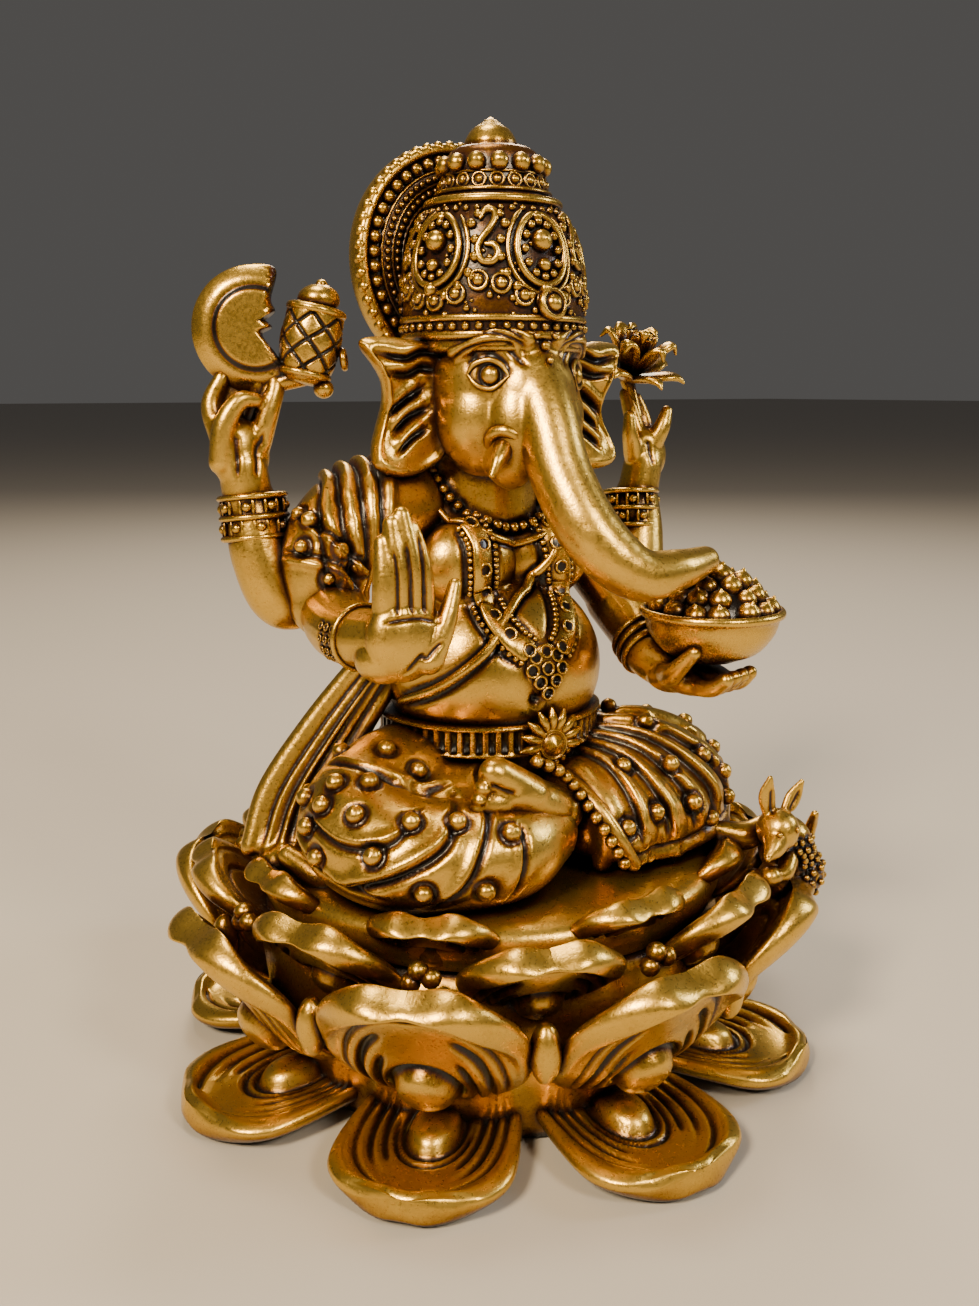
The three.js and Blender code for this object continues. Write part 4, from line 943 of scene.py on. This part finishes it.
finish(carved(front_left_hand, [([(20.6, -31, 67.4), (21, -26, 67.6)], 0.4, -0.5),
                                ([(24, -34, 65), (23.6, -28, 63.6)], 0.4, -0.5),
                                ([(26.6, -34, 65), (26, -28, 63.6)], 0.4, -0.5)]), "figure_gold",
       ["front_left_forearm"])

cuffs = []
for node, lean in (("rear_right_bangle", (-0.02, 0.12, 1)), ("rear_left_bangle", (0.06, 0.14, 1))):
    at = mid(node)
    a = np.arange(16) * 2 * math.pi / 16
    turn = frame_of(lean)
    posts = np.stack([4.75 * np.cos(a), 4.75 * np.sin(a), 0 * a], -1)
    half_step = np.stack([4.7 * np.cos(a + 0.196), 4.7 * np.sin(a + 0.196), 0 * a], -1)
    parts = [ring(at + turn[:, 2] * z, lean, 4.7, 0.6, 0.5) for z in (-3.0, 0.0, 3.0)]
    parts.append(turned([(3.2, -3), (4.3, -3), (4.3, 3), (3.2, 3)], at, axis=lean))
    for z in (-1.5, 1.5):
        parts.append(stamp(ball((0, 0, 0), (0.35, 0.35, 1.3), rows=8, cols=8),
                           (posts + arr(0, 0, z)) @ turn.T + at, lean, 1.0))
        every = half_step[::2] if z > 0 else half_step[1::2]
        parts.append(stamp(BEAD, (every + arr(0, 0, z)) @ turn.T + at, lean, 0.78))
    cuffs.append(finish(mesh_of(f"{node}_cast", joined(parts)), "ornament_gold", [node]))
wrist_rings = [ring((-31.0, -15.6, 76.6), (0.05, -1, 0), 4.5, 0.45, 0.45)]
for at, radius in (((22.6, -11.2, 70.2), 4.75), ((22.2, -12.8, 69.3), 4.65), ((21.9, -14.4, 68.5), 4.55)):
    wrist_rings.append(ring(at, (-0.12, -0.85, -0.5), radius, 0.5, 0.55))
wrist_rings.append(stamp(PIT, wrist + 0.05 * wrist_out, wrist_out, 0.55))
finish(mesh_of("wrist_rings", joined(wrist_rings)), "ornament_gold")

# ---- The face ---------------------------------------------------------------------------

eye_at, eye_out = settled(head_cast, [(-7.9, -12.5, 112.4), (7.9, -12.5, 112.4)])
upper_lid = [(-10.1, -10.0, 112.6), (-9.8, -10.6, 113.9), (-8.8, -11.9, 114.5), (-7.7, -12.7, 114.5),
             (-6.5, -13.6, 113.7), (-5.7, -14.2, 112.2)]
lower_lid = [(-10.1, -10.0, 112.4), (-9.5, -11.1, 111.1), (-8.5, -12.1, 110.5), (-7.3, -12.9, 110.6),
             (-5.7, -14.2, 112.1)]
brow = [(-11.6, -7.4, 115.4), (-10.6, -10.4, 116.8), (-8.4, -13, 117.4), (-5.6, -14.6, 116.6),
        (-3.4, -15.4, 114.6)]
MIRRORS = (arr(1, 1, 1), arr(-1, 1, 1))      # the figure's right side, then its left
face_strokes = []
for mirror in MIRRORS:
    face_strokes += [(arr(*brow) * mirror + arr(0, 0, 0.9 * k), 0.4, -0.5) for k in (-1, 1, 2.6)]
    face_strokes += [(arr(*upper_lid) * mirror + arr(0, 0, 0.8), 0.4, -0.3)]
finish(carved(head_cast, face_strokes, [(eye_at, 1.5)]), "figure_gold", ["head", "trunk"])
lids = []
for mirror, at, way in zip(MIRRORS, eye_at, eye_out):
    for path, size in ((upper_lid, 0.48), (lower_lid, 0.36)):
        line, line_out = settled(head_cast, arr(*path) * mirror)
        radii = [0.4 * size] + [size] * (len(line) - 2) + [0.4 * size]
        lids.append(tube(line + 0.2 * line_out, radii, steps=40, sides=12))
    lids.append(ball(at - 0.2 * way, (1.4, 1.4, 1.05), frame_of(way)))
    lids.append(ball(at + 0.5 * way, (0.62, 0.62, 0.4), frame_of(way)))
mark, mark_out = settled(head_cast, [(0, -14, 119), (0, -15.4, 116.6), (-1.8, -15, 117.8), (1.8, -15, 117.8),
                                     (0, -16.4, 114.4)])
lids.append(stamp(BEAD, mark + 0.3 * mark_out, mark_out, arr(1.0, 0.8, 0.5, 0.5, 0.55)))
finish(mesh_of("eyes_and_lids", joined(lids)), "figure_gold")


EAR_OUT, EAR_BACK, EAR_HEIGHT = 9.6, -3, 108      # where an ear's own plane meets the head


def ear(side):
    """A broad ear that hangs in folds: a thick rolled edge and deep slanting grooves."""
    outline = [(-1, -5), (1, -8), (5.6, -10.4), (10, -10.4), (12.8, -9), (12.8, -6.6), (11.4, -3), (10.7, 0),
               (11.4, 3.4), (13, 6.6), (14.2, 9.2), (11, 9.9), (7, 9.6), (3.2, 8.9), (0, 6), (-1.4, 0)]
    lean = math.radians(12)

    def relief(a, b, share, face):
        """Deep slanting grooves below, two wavy folds along the top, and a rolled rim."""
        flat = np.stack([a, b, 0 * a], -1).reshape(-1, 3)
        front = 0.5 + 0.5 * face
        rib = 0 * a
        fold = 0 * a
        for line, width in (([(9.8, -1.2), (7, 0.9), (4.2, 2.6)], 0.4),
                            ([(9.4, -4.2), (6.6, -1.8), (3.4, -0.4)], 0.42),
                            ([(9.2, -7), (6.8, -5), (3.8, -3.4)], 0.42),
                            ([(12.2, 7.4), (8, 6.6), (5, 7.6), (2.2, 7.4)], 0.4),
                            ([(11, 4.6), (7.6, 4.4), (4.8, 5.4), (2.2, 5)], 0.5),
                            ([(0.6, -8), (0.8, -3), (1.6, 3)], 0.5)):
            path = through(line, 14)
            path = np.hstack([path, np.zeros((14, 1))])
            gap, run = distance_to(flat, path)
            soft = (0.3 + 0.7 * ease(run, 0, 0.25) * ease(1 - run, 0, 0.25)).reshape(a.shape)
            rib = np.maximum(rib, bell(gap.reshape(a.shape), 0, width) * soft)
            gap = distance_to(flat, path + arr(0.2, 1.4, 0))[0]
            fold = np.maximum(fold, bell(gap.reshape(a.shape), 0, 0.8) * soft)
        roll = bell(share, 0.93, 0.1)
        return 0.9 * roll + front * (0.7 * fold - 1.0 * rib), 0.7 * front * rib

    def place(a, b, out):
        """From the ear's own plane to the side of the head, with a slow wave in the leaf."""
        wave = 1.0 * np.sin(0.45 * b + 0.25 * a) * ease(a, 2, 9) - 0.04 * np.maximum(a, 0) ** 1.6
        return np.stack([side * (EAR_OUT + a * math.cos(lean)), EAR_BACK + a * math.sin(lean) - out + wave,
                         EAR_HEIGHT + b], -1)

    return pillow(outline, place, 1.15, relief, rows=56, cols=200, middle=(5, 0))


for side, word in ((-1, "right_ear"), (1, "left_ear")):
    surface, dark = ear(side)
    finish(mesh_of(f"{word}_cast", surface, dark), "figure_gold", [word])
tusk = tube([(-5.2, -12.6, 103.6), (-6.6, -14.2, 101.9), (-8.3, -15.4, 100.2), (-9.7, -15.9, 98.2)],
            [1.9, 1.55, 1.15, 0.5], steps=40)
tusk_ring = ring((-5.9, -13.6, 102.5), (-0.6, -0.5, -0.6), 2.3, 1.05, 0.95, 48)
finish(mesh_of("right_tusk_cast", joined([tusk, tusk_ring])), "figure_gold", ["right_tusk"])
stub = tube([(5.4, -11.6, 103.4), (6.4, -13.2, 101.4), (7.2, -14.6, 99.8)], [1.6, 1.2, 1.1], steps=30)
stub_ring = ring((6.2, -12.9, 102), (0.45, -0.62, -0.64), 1.5, 0.6, 0.6, 40)
finish(mesh_of("left_tusk_cast", joined([stub, stub_ring])), "figure_gold", ["left_tusk"])

# ---- Crown, finial and halo -------------------------------------------------------------

AXIS = arr(0, CROWN[1], 0)
profile_z = crown_profile[1:-1, 1]
profile_r = crown_profile[1:-1, 0]


def on_crown(azimuth, z, out=0.0):
    """Points and outward directions on the crown at azimuths (0 is the front) and heights."""
    azimuth, z = np.broadcast_arrays(np.asarray(azimuth, float), np.asarray(z, float))
    r = np.interp(z - FOOT, profile_z, profile_r) + out
    way = np.stack([np.sin(azimuth), -np.cos(azimuth), 0 * azimuth], -1)
    return way * r[..., None] + AXIS + UP * z[..., None], unit(way + UP * 0.18)


def crown_curve(centre, points, radius, out=0.15, steps=48):
    """A cord on the crown: points are (across, up) in mm from a place given as (azimuth, z)."""
    points = np.asarray(points, float)
    r = np.interp(centre[1] - FOOT, profile_z, profile_r)
    path, _ = on_crown(centre[0] + points[:, 0] / r, centre[1] + points[:, 1], out)
    return tube(path, [0.6 * radius] + [radius] * (len(points) - 2) + [0.6 * radius], steps=steps, sides=10)


def crown_beads(count, z, size, pattern=BEAD, out=0.25, shift=0.0):
    """A row of equal beads right round."""
    places, ways = on_crown((np.arange(count) + shift) * 2 * math.pi / count, z, out)
    return stamp(pattern, places, ways, size)


def oval(wide, tall, count):
    """A closed oval as rows of (across, up)."""
    return [(wide * math.sin(a), tall * math.cos(a)) for a in np.linspace(0, 2 * math.pi, count)]


MEDALS = np.radians([0, -72, -144, 144, 72])
parts = [crown_beads(14, FOOT + 24.3, 1.45, out=0.2), crown_beads(19, FOOT + 21.7, 1.15, CUP_BEAD, 0.1, 0.5),
         ring(AXIS + UP * (FOOT + 26.0), UP, 5.0, 1.0, 0.7),
         ring(AXIS + UP * (FOOT + 23.0), UP, 7.4, 0.4, 0.3),
         ring(AXIS + UP * (FOOT + 18.9), UP, 9.8, 0.8, 0.7),
         ring(AXIS + UP * (FOOT + 20.4), UP, 8.5, 0.5, 0.4),
         ring(AXIS + UP * (FOOT - 0.4), UP, 13.6, 0.7, 0.8),
         ring(AXIS + UP * (FOOT + 2.0), UP, 13.9, 0.55, 0.6),
         ring(AXIS + UP * (FOOT - 2.2), UP, 13.0, 0.8, 0.7),
         crown_beads(44, FOOT + 0.8, 0.72, FINE_BEAD, 0.1),
         crown_beads(40, FOOT + 17.4, 0.55, FINE_BEAD, 0.1)]
swag = np.arange(26) * 2 * math.pi / 26
wrapped = np.abs((swag + math.pi) % (2 * math.pi) - math.pi)
swag_z = FOOT + 4.4 + 3.6 * (1 - np.abs(np.cos(2.5 * wrapped)))
places, ways = on_crown(swag, swag_z, 0.1)
parts.append(stamp(CUP_BEAD, places, ways, 1.55))
under, under_out = on_crown(swag + 0.12, swag_z - 2.0, 0.1)
parts.append(stamp(FINE_BEAD, under, under_out, 0.6))
for turn in MEDALS:
    at = (turn, FOOT + 11.6)
    parts += [crown_curve(at, oval(3.9, 5.0, 26), 0.55, 0.5, 72),
              crown_curve(at, oval(5.2, 6.3, 26)[3:24], 0.42, 0.2, 72)]
    rim = np.array(oval(2.75, 3.9, 13)[:-1])
    r_here = np.interp(11.6, profile_z, profile_r)
    places, ways = on_crown(turn + rim[:, 0] / r_here, at[1] + rim[:, 1], 0.35)
    parts.append(stamp(BEAD, places, ways, 0.72))
    outer = np.array(oval(6.3, 6.9, 19))[3:16]
    places, ways = on_crown(turn + outer[:, 0] / r_here, at[1] + outer[:, 1], 0.2)
    parts.append(stamp(BEAD, places, ways, 0.78))
    for up, size in ((1.2, 1.75), (-2.2, 1.1), (4.6, 0.9), (-5.6, 1.2)):
        places, ways = on_crown([turn], [at[1] + up], 0.35)
        parts.append(stamp(STUD, places, ways, size))
    half = turn + math.pi / 5
    parts.append(crown_curve((half, FOOT + 12.8),
                             [(-1.2, 3.1), (-0.5, 4.2), (0.8, 4.1), (1.0, 2.9), (0.1, 1.4), (-0.9, 0.1),
                 (-1.4, -1.4), (-0.8, -2.9), (0.6, -3.1), (1.4, -2.0), (0.9, -0.8), (-0.3, -0.6)], 0.56, 0.35,
                             90))
    places, ways = on_crown(half + arr(-0.13, 0.14, 0.02, -0.16, 0.16),
                            FOOT + arr(16.4, 16.4, 10.2, 7.6, 8.2), 0.2)
    parts.append(stamp(BEAD, places, ways, arr(0.75, 0.7, 0.6, 0.7, 0.65)))
places, ways = on_crown([0.06], [FOOT + 4.0], 0.7)
parts.append(stamp(CUP_BEAD, places, ways, 2.3))
rough = draw.uniform(-1, 1, (260, 2))
places, ways = on_crown(rough[:, 0] * math.pi, FOOT + 9.8 + 8.6 * rough[:, 1], 0.02)
parts.append(stamp(FINE_BEAD, places, ways, draw.uniform(0.22, 0.5, 260)))
HALO = mid("halo") * arr(0, 1, 0) + UP * (low("halo")[2] + 13.9)
HALO_R = (high("halo")[0] - low("halo")[0]) / 2
HALO_DRAWN = 18.9                      # the radius for which the halo's rows are written
tilt = math.radians(4)
halo_out = arr(0, -math.cos(tilt), math.sin(tilt))
halo_up = arr(0, math.sin(tilt), math.cos(tilt))


def before_halo(surface):
    """Squeezes what would come out of the halo's back into the thickness of its plate."""
    points, quads, tris = surface
    plane = HALO[1] + (points[:, 2] - HALO[2]) * math.tan(tilt) - 0.6
    points[:, 1] -= 0.92 * np.maximum(points[:, 1] - plane, 0)
    return points, quads, tris


crown_dark = ease(crown[0][:, 2], FOOT - 1, FOOT + 1) * 0.38
finish(mesh_of("crown_core_cast", before_halo(crown), crown_dark), "ornament_gold", ["crown"])
finish(mesh_of("crown_ornament", before_halo(joined(parts))), "ornament_gold")
tip = low("crown_finial")[2]
acorn = turned(arc_profile([(0, -0.9), (4.4, -0.8), (4.9, -0.3), (4.5, 0.3), (4.0, 0.6), (3.9, 1.5),
                            (3.0, 3.0), (1.6, 4.0), (0.8, 4.6), (0, 5.0)]), AXIS * 0.3 + UP * tip, sides=64)
finish(mesh_of("crown_finial_cast", acorn), "ornament_gold", ["crown_finial"])


def on_halo(radius, angle, out):
    """Points of the halo plate; angle 0 is the top and the plate ends in a straight foot."""
    radius = radius * HALO_R / HALO_DRAWN
    radius, angle, out = np.broadcast_arrays(*(np.asarray(v, float) for v in (radius, angle, out)))
    up = np.maximum(radius * np.cos(angle), -13.8)
    return (HALO + (radius * np.sin(angle))[..., None] * arr(1, 0, 0) + up[..., None] * halo_up
            + out[..., None] * halo_out)


def halo_plate():
    """A disc turned about its own axis: a fat rolled rim, steps, and a sunken middle."""
    rows = arc_profile([(0, 0.5), (8, 0.6), (10.6, 0.9), (11.2, 1.7), (13.2, 1.7), (14.6, 1.6), (15.0, 1.2),
                        (16.8, 1.3), (17.3, 2.0), (18.4, 1.8), (18.9, 0.4), (18.8, -1.0), (18.2, -2.0),
                        (16, -2.0), (8, -1.9), (0, -1.9)])
    a = np.linspace(0, 2 * np.pi, 220, endpoint=False)[None]
    return shell(on_halo(rows[:, :1], a, rows[:, 1:])), rows


plate, rows = halo_plate()
span = np.abs(np.append(np.repeat(rows[:, 0], 220), [0, 0]))
halo_dark = 0.75 * bell(span, 15.6, 0.8) + 0.6 * bell(span, 12.4, 0.9) + 0.35 * (span < 10.8)
finish(mesh_of("halo_cast", plate, np.clip(halo_dark, 0, 1)), "ornament_gold", ["halo"])
parts = []
for count, radius, size, height in ((54, 18.1, 1.0, 1.1), (44, 15.9, 1.05, 1.5), (66, 13.6, 0.55, 1.75),
                                    (58, 11.8, 0.55, 1.75)):
    a = (np.arange(count) + 0.5) * 2 * math.pi / count
    a = a[np.cos(a) * radius > -12.5]
    parts.append(stamp(BEAD, on_halo(radius, a, height), halo_out, size))
for radius in (12.7, 14.6, 10.8):
    a = np.linspace(-2.35, 2.35, 60)
    parts.append(tube(on_halo(radius, a, 1.65), [0.3] * 60, steps=120, sides=8))
finish(mesh_of("halo_beads", joined(parts)), "ornament_gold")

# ---- What the hands hold ----------------------------------------------------------------

AXE = mid("axe") + arr(2.1, -1.4, 2.0)
AXE_R = (high("axe")[2] - low("axe")[2]) / 2
facing = unit(arr(-0.42, -0.9, 0.05))
axe_side = unit(np.cross(facing, UP))


def axe_relief(a, b, share, face):
    """A bevelled outer crescent, a step inside it and a rough broken edge."""
    far = np.hypot(a, b) / AXE_R
    step = ease(far, 0.62, 0.68)
    line = bell(far, 0.63, 0.04)
    rough = 0.25 * np.sin(5 * a) * np.sin(6 * b + 1) * ease(a, 1, 3)
    dark = np.clip(line + 0.6 * ease(a, 1.6, 3) * (share > 0.8), 0, 1)
    return 0.5 * (1 - step) - 0.7 * ease(far, 0.75, 1.05) + rough - 0.3 * line, dark


edge = [(-AXE_R * math.sin(a), AXE_R * math.cos(a))
        for a in np.radians([-20, 10, 40, 70, 100, 130, 160, 190, 215])]
edge += [(3.0, -3.6), (2.0, -2.2), (1.0, -0.6), (2.4, 0.4), (1.2, 1.8), (2.9, 2.6), (2.4, 4.4)]


def on_axe(a, b, out):
    """From the blade's own plane to its place above the hand."""
    return AXE - a[..., None] * axe_side + b[..., None] * UP + out[..., None] * facing


axe_blade, axe_dark = pillow(edge, on_axe, 2.0, axe_relief, rows=40, cols=150, middle=(-1.4, 0))
shaft = tube([AXE - UP * 2.5 + facing * 0.4, AXE - UP * 8.6 + facing * 0.2, (-37.6, 8.8, 104)],
             [1.5, 1.25, 1.2], steps=40)
collar_ring = ring(AXE - UP * 5.4, UP, 1.5, 0.55, 0.6, 40)
axe = joined([axe_blade, shaft, collar_ring])
finish(mesh_of("axe_cast", axe, np.append(axe_dark, np.zeros(len(axe[0]) - len(axe_dark)))), "ornament_gold",
       ["axe"])

BUNDLE = mid("bound_bundle")
lean = unit(arr(0.22, -0.05, 1))


def knots(z, a):
    """Cords that cross in slanting squares."""
    cord = np.maximum(bell(np.sin(3 * a + 0.8 * z), 0, 0.22), bell(np.sin(3 * a - 0.8 * z), 0, 0.22))
    return -0.55 * cord * ease(5.4 - np.abs(z), 0, 1)


barrel = turned(through([(0, -6.4), (2.6, -6), (3.9, -4), (4.5, -0.5), (4.3, 2.6), (3.7, 4.8), (0, 5.4)],
                        100), (0, 0, 0), sides=150,
                relief=knots)
spin = np.arctan2(barrel[0][:, 1], barrel[0][:, 0])
barrel_dark = np.clip(-1.7 * knots(barrel[0][:, 2], spin), 0, 1)
barrel = (barrel[0] @ frame_of(lean).T + BUNDLE, *barrel[1:])
ties = joined([ring(BUNDLE + lean * 4.4, lean, 3.7, 0.75, 0.7, 48),
               ring(BUNDLE - lean * 4.8, lean, 3.4, 0.6, 0.6, 48), ball(BUNDLE + lean * 6.0, (3.1, 3.1, 2.3)),
               ball(BUNDLE + lean * 8.2, (0.9, 0.9, 0.8)),
               ring(BUNDLE + arr(4.0, -2.6, -2.6), (0.8, -0.5, 0.1), 1.2, 0.5, 0.5, 30),
               ball(BUNDLE + arr(1.2, -1.4, -6.8), (1.5, 1.5, 1.4)),
               tube([BUNDLE - lean * 5, (-34, 6.4, 110.5), (-35.4, 7, 107)],
                                                                            [1.5, 1.2, 1.1])])
bundle = joined([barrel, ties])
finish(mesh_of("bound_bundle_cast", bundle,
               np.append(barrel_dark, np.zeros(len(bundle[0]) - len(barrel_dark)))),
       "ornament_gold", ["bound_bundle"])

BLOOM = arr(36.2, 11, 112)
bloom_axis = unit(arr(0.05, -0.45, 1))
turn = frame_of(bloom_axis)
leaves = [ball(BLOOM + bloom_axis * 2.6, (2.0, 2.0, 2.4)),
          tube([(37.6, 9, 103), (37, 10.2, 108), BLOOM], [1.2, 1.1, 1.3])]


def leaf_vein(t, a):
    """A shallow line along the middle of a leaf that ends before its tip."""
    return -0.18 * bell(np.cos(a), 0, 0.14) * ease(0.9 - t, 0, 0.3)


LEAF_WIDTHS = [(1.0, 0.6), (1.9, 0.7), (1.9, 0.7), (1.0, 0.6), (0.25, 0.25)]
LEAF_PATH = ((0.35, 0.45), (0.7, 0.9), (0.92, 1.02), (1.06, 0.86))      # shares of spread and rise
for count, start, spread, rise in ((7, 0.2, 9.2, 3.0), (6, 0.6, 6.6, 7.6), (3, 0.0, 2.6, 9.0)):
    for k in range(count):
        a = start + 2 * math.pi * k / count
        way = arr(math.cos(a), math.sin(a), 0)
        path = arr([0, 0, 0], *(way * (r * spread) + UP * (z * rise) for r, z in LEAF_PATH))
        normal = (way * 0.4 + UP) @ turn.T
        leaves.append(tube(path @ turn.T + BLOOM, LEAF_WIDTHS, flat=normal, steps=26, sides=18,
                           relief=leaf_vein))
finish(mesh_of("held_lotus_cast", joined(leaves)), "ornament_gold", ["held_lotus"])

BOWL = mid("sweets_bowl") * arr(1, 1, 0) + UP * low("sweets_bowl")[2]
bowl = turned(arc_profile([(0, 0), (3.2, 0), (4.2, 0.35), (7.4, 1.7), (9.7, 4.5), (10.5, 6.9), (11.2, 7.4),
                           (11.3, 8.1), (10.8, 8.6), (10.0, 8.2), (9.4, 7.0), (6, 6.2), (0, 6.0)]), BOWL,
              sides=120)
finish(mesh_of("sweets_bowl_cast", bowl), "ornament_gold", ["sweets_bowl"])
places, sizes = [], []
for count, radius, height, start in ((14, 8.6, 8.7, 0.1), (11, 6.5, 10.7, 0.25), (7, 4.2, 12.4, 0.1),
                                     (3, 1.9, 13.8, 0.5)):
    for k in range(count):
        a = start + 2 * math.pi * k / count + 0.05 * draw.normal()
        places.append(BOWL + arr(radius * math.cos(a), radius * math.sin(a), height + 0.15 * draw.normal()))
        sizes.append(1.78 + 0.07 * draw.normal())
tilts = arr(*(np.array(p) - BOWL for p in places)) * arr(0.05, 0.05, 0) + UP
heap = joined([stamp(SWEET, places, tilts, sizes), ball(BOWL + UP * 6.5, (8.4, 8.4, 6.6))])
heap_dark = np.append(np.zeros(len(SWEET[0]) * len(places)),
                      np.ones(len(heap[0]) - len(SWEET[0]) * len(places)))
finish(mesh_of("sweets_heap_cast", heap, heap_dark), "ornament_gold", ["sweets_heap"])

# ---- The mouse ---------------------------------------------------------------------------

mouse = fused("mouse_cast", [
    ball((33.6, -33.4, 41.2), (3.3, 3.6, 3.5)),
    tube([(33, -34, 40.6), (30.6, -35.6, 39.2), (28.8, -36.2, 38.4)], [2.6, 1.7, 0.8]),
    tube([(32.4, -32.6, 43.6), (31.8, -32.4, 47), (32.0, -32.8, 50)], [(1.1, 0.7), (1.5, 0.7), (0.5, 0.4)],
         flat=(0.3, 1, 0)),
    tube([(36.2, -32.2, 43), (38.2, -32, 45.4), (39.6, -32.4, 48)], [(1.1, 0.7), (1.5, 0.7), (0.5, 0.4)],
         flat=(0.3, 1, 0)),
    ball((38.4, -30.6, 36.6), (4.4, 4.6, 5.2)), ball((41, -30.6, 31.6), (4.8, 4.8, 4.6)),
    ball((35.6, -31.6, 31.6), (3.2, 3.4, 3.2)),
    tube([(36.4, -33.6, 37), (33, -36, 35), (30.6, -36, 34.6)], [1.7, 1.4, 1.2]),
    ball((29.8, -36, 34.8), (1.8, 1.8, 1.8)),
    tube([(42, -28, 30), (46, -27, 32), (46, -29, 38), (44.6, -31, 41)], [1.6, 1.2, 1.0, 0.7])], 0.26, 3)
beads = [spaced([(36 + 1.7 * k, -35.4 + 0.9 * k, 38.6 - 0.2 * k), (38.6 + 1.7 * k, -36 + 1.1 * k, 34.6),
                 (38 + 1.9 * k, -36 + 1.3 * k, 29.6)], 1.3)
         for k in range(5)]
bead_at, bead_out = settled(mouse, np.vstack(beads))
muzzle, muzzle_out = settled(mouse, [(31.2, -36.2, 41.6), (34.6, -37, 42), (28, -37, 38.4)])
finish(carved(mouse, [([(32, -33.6, 44.4), (32, -33.6, 48)], 0.4, -0.35),
                      ([(36.8, -33.2, 43.8), (38.8, -33.2, 46.6)], 0.4, -0.35),
                      ([(36.4, -37, 40), (37.6, -34, 42), (38, -30, 42)], 0.6, -0.6)], [(bead_at, 0.75)]),
       "figure_gold", ["mouse"])
finish(mesh_of("mouse_beads", joined([stamp(BEAD, bead_at, bead_out, 0.62),
                                      stamp(BEAD, muzzle, muzzle_out, arr(0.5, 0.5, 0.55))])),
       "figure_gold")

# ---- Floor, light and camera ----------------------------------------------------------

FLOOR_HALF, FLOOR_ROWS = 9, 30         # metres either way, and points along each side
even = np.linspace(-FLOOR_HALF, FLOOR_HALF, FLOOR_ROWS)
reach, side = np.meshgrid(even, even, indexing="ij")
sheet = np.stack([side, reach, 0 * side], -1).reshape(-1, 3)
cells = np.arange(FLOOR_ROWS**2).reshape(FLOOR_ROWS, FLOOR_ROWS)
quads = np.stack([cells[:-1, :-1], cells[:-1, 1:], cells[1:, 1:], cells[1:, :-1]], -1).reshape(-1, 4)
floor = mesh_of("floor", (sheet / MM, quads, np.zeros((0, 3), int)))
paper = bpy.data.materials.new("matt_paper_roll")
paper.use_nodes = True
paper.node_tree.nodes["Principled BSDF"].inputs["Base Color"].default_value = linear("B5AFA8")
paper.node_tree.nodes["Principled BSDF"].inputs["Roughness"].default_value = 0.9
floor.data.materials.append(paper)


def lamp(name, place, size, power, colour):
    """A large soft panel aimed at the idol's middle; place and size in metres."""
    light = bpy.data.lights.new(name, "AREA")
    light.shape = "RECTANGLE"
    light.size, light.size_y = size
    light.energy = power
    light.color = linear(colour)[:3]
    panel = bpy.data.objects.new(name, light)
    panel.location = place
    panel.rotation_euler = (Vector((0, 0, 0.07)) - Vector(place)).to_track_quat("-Z", "Y").to_euler()
    bpy.context.collection.objects.link(panel)


lamp("key_panel", (-0.55, -0.30, 0.55), (0.16, 0.16), 10.0, "FFE6BC")
lamp("front_panel", (0.05, -0.62, 0.50), (0.14, 0.14), 3.4, "FFEDD0")
lamp("back_panel", (0.38, 0.58, 0.62), (0.25, 0.25), 4.0, "FFEDD0")
lamp("right_panel", (0.60, -0.25, 0.35), (0.12, 0.2), 1.6, "F4F7FF")
lamp("top_panel", (0.0, 0.15, 0.75), (0.22, 0.22), 3.0, "FFEDD0")
world = bpy.data.worlds.new("dim_room")
world.use_nodes = True
world.node_tree.nodes["Background"].inputs["Color"].default_value = linear("908D8A")
world.node_tree.nodes["Background"].inputs["Strength"].default_value = 0.3
bpy.context.scene.world = world

eye = bpy.data.cameras.new("camera")
eye.lens = 34.46
eye.sensor_width = 36
view = bpy.data.objects.new("camera", eye)
view.location = (-0.10774, -0.16912, 0.11062)
view.rotation_euler = (Vector((0, 0, 0.068)) - view.location).to_track_quat("-Z", "Y").to_euler()
bpy.context.collection.objects.link(view)
bpy.context.scene.camera = view
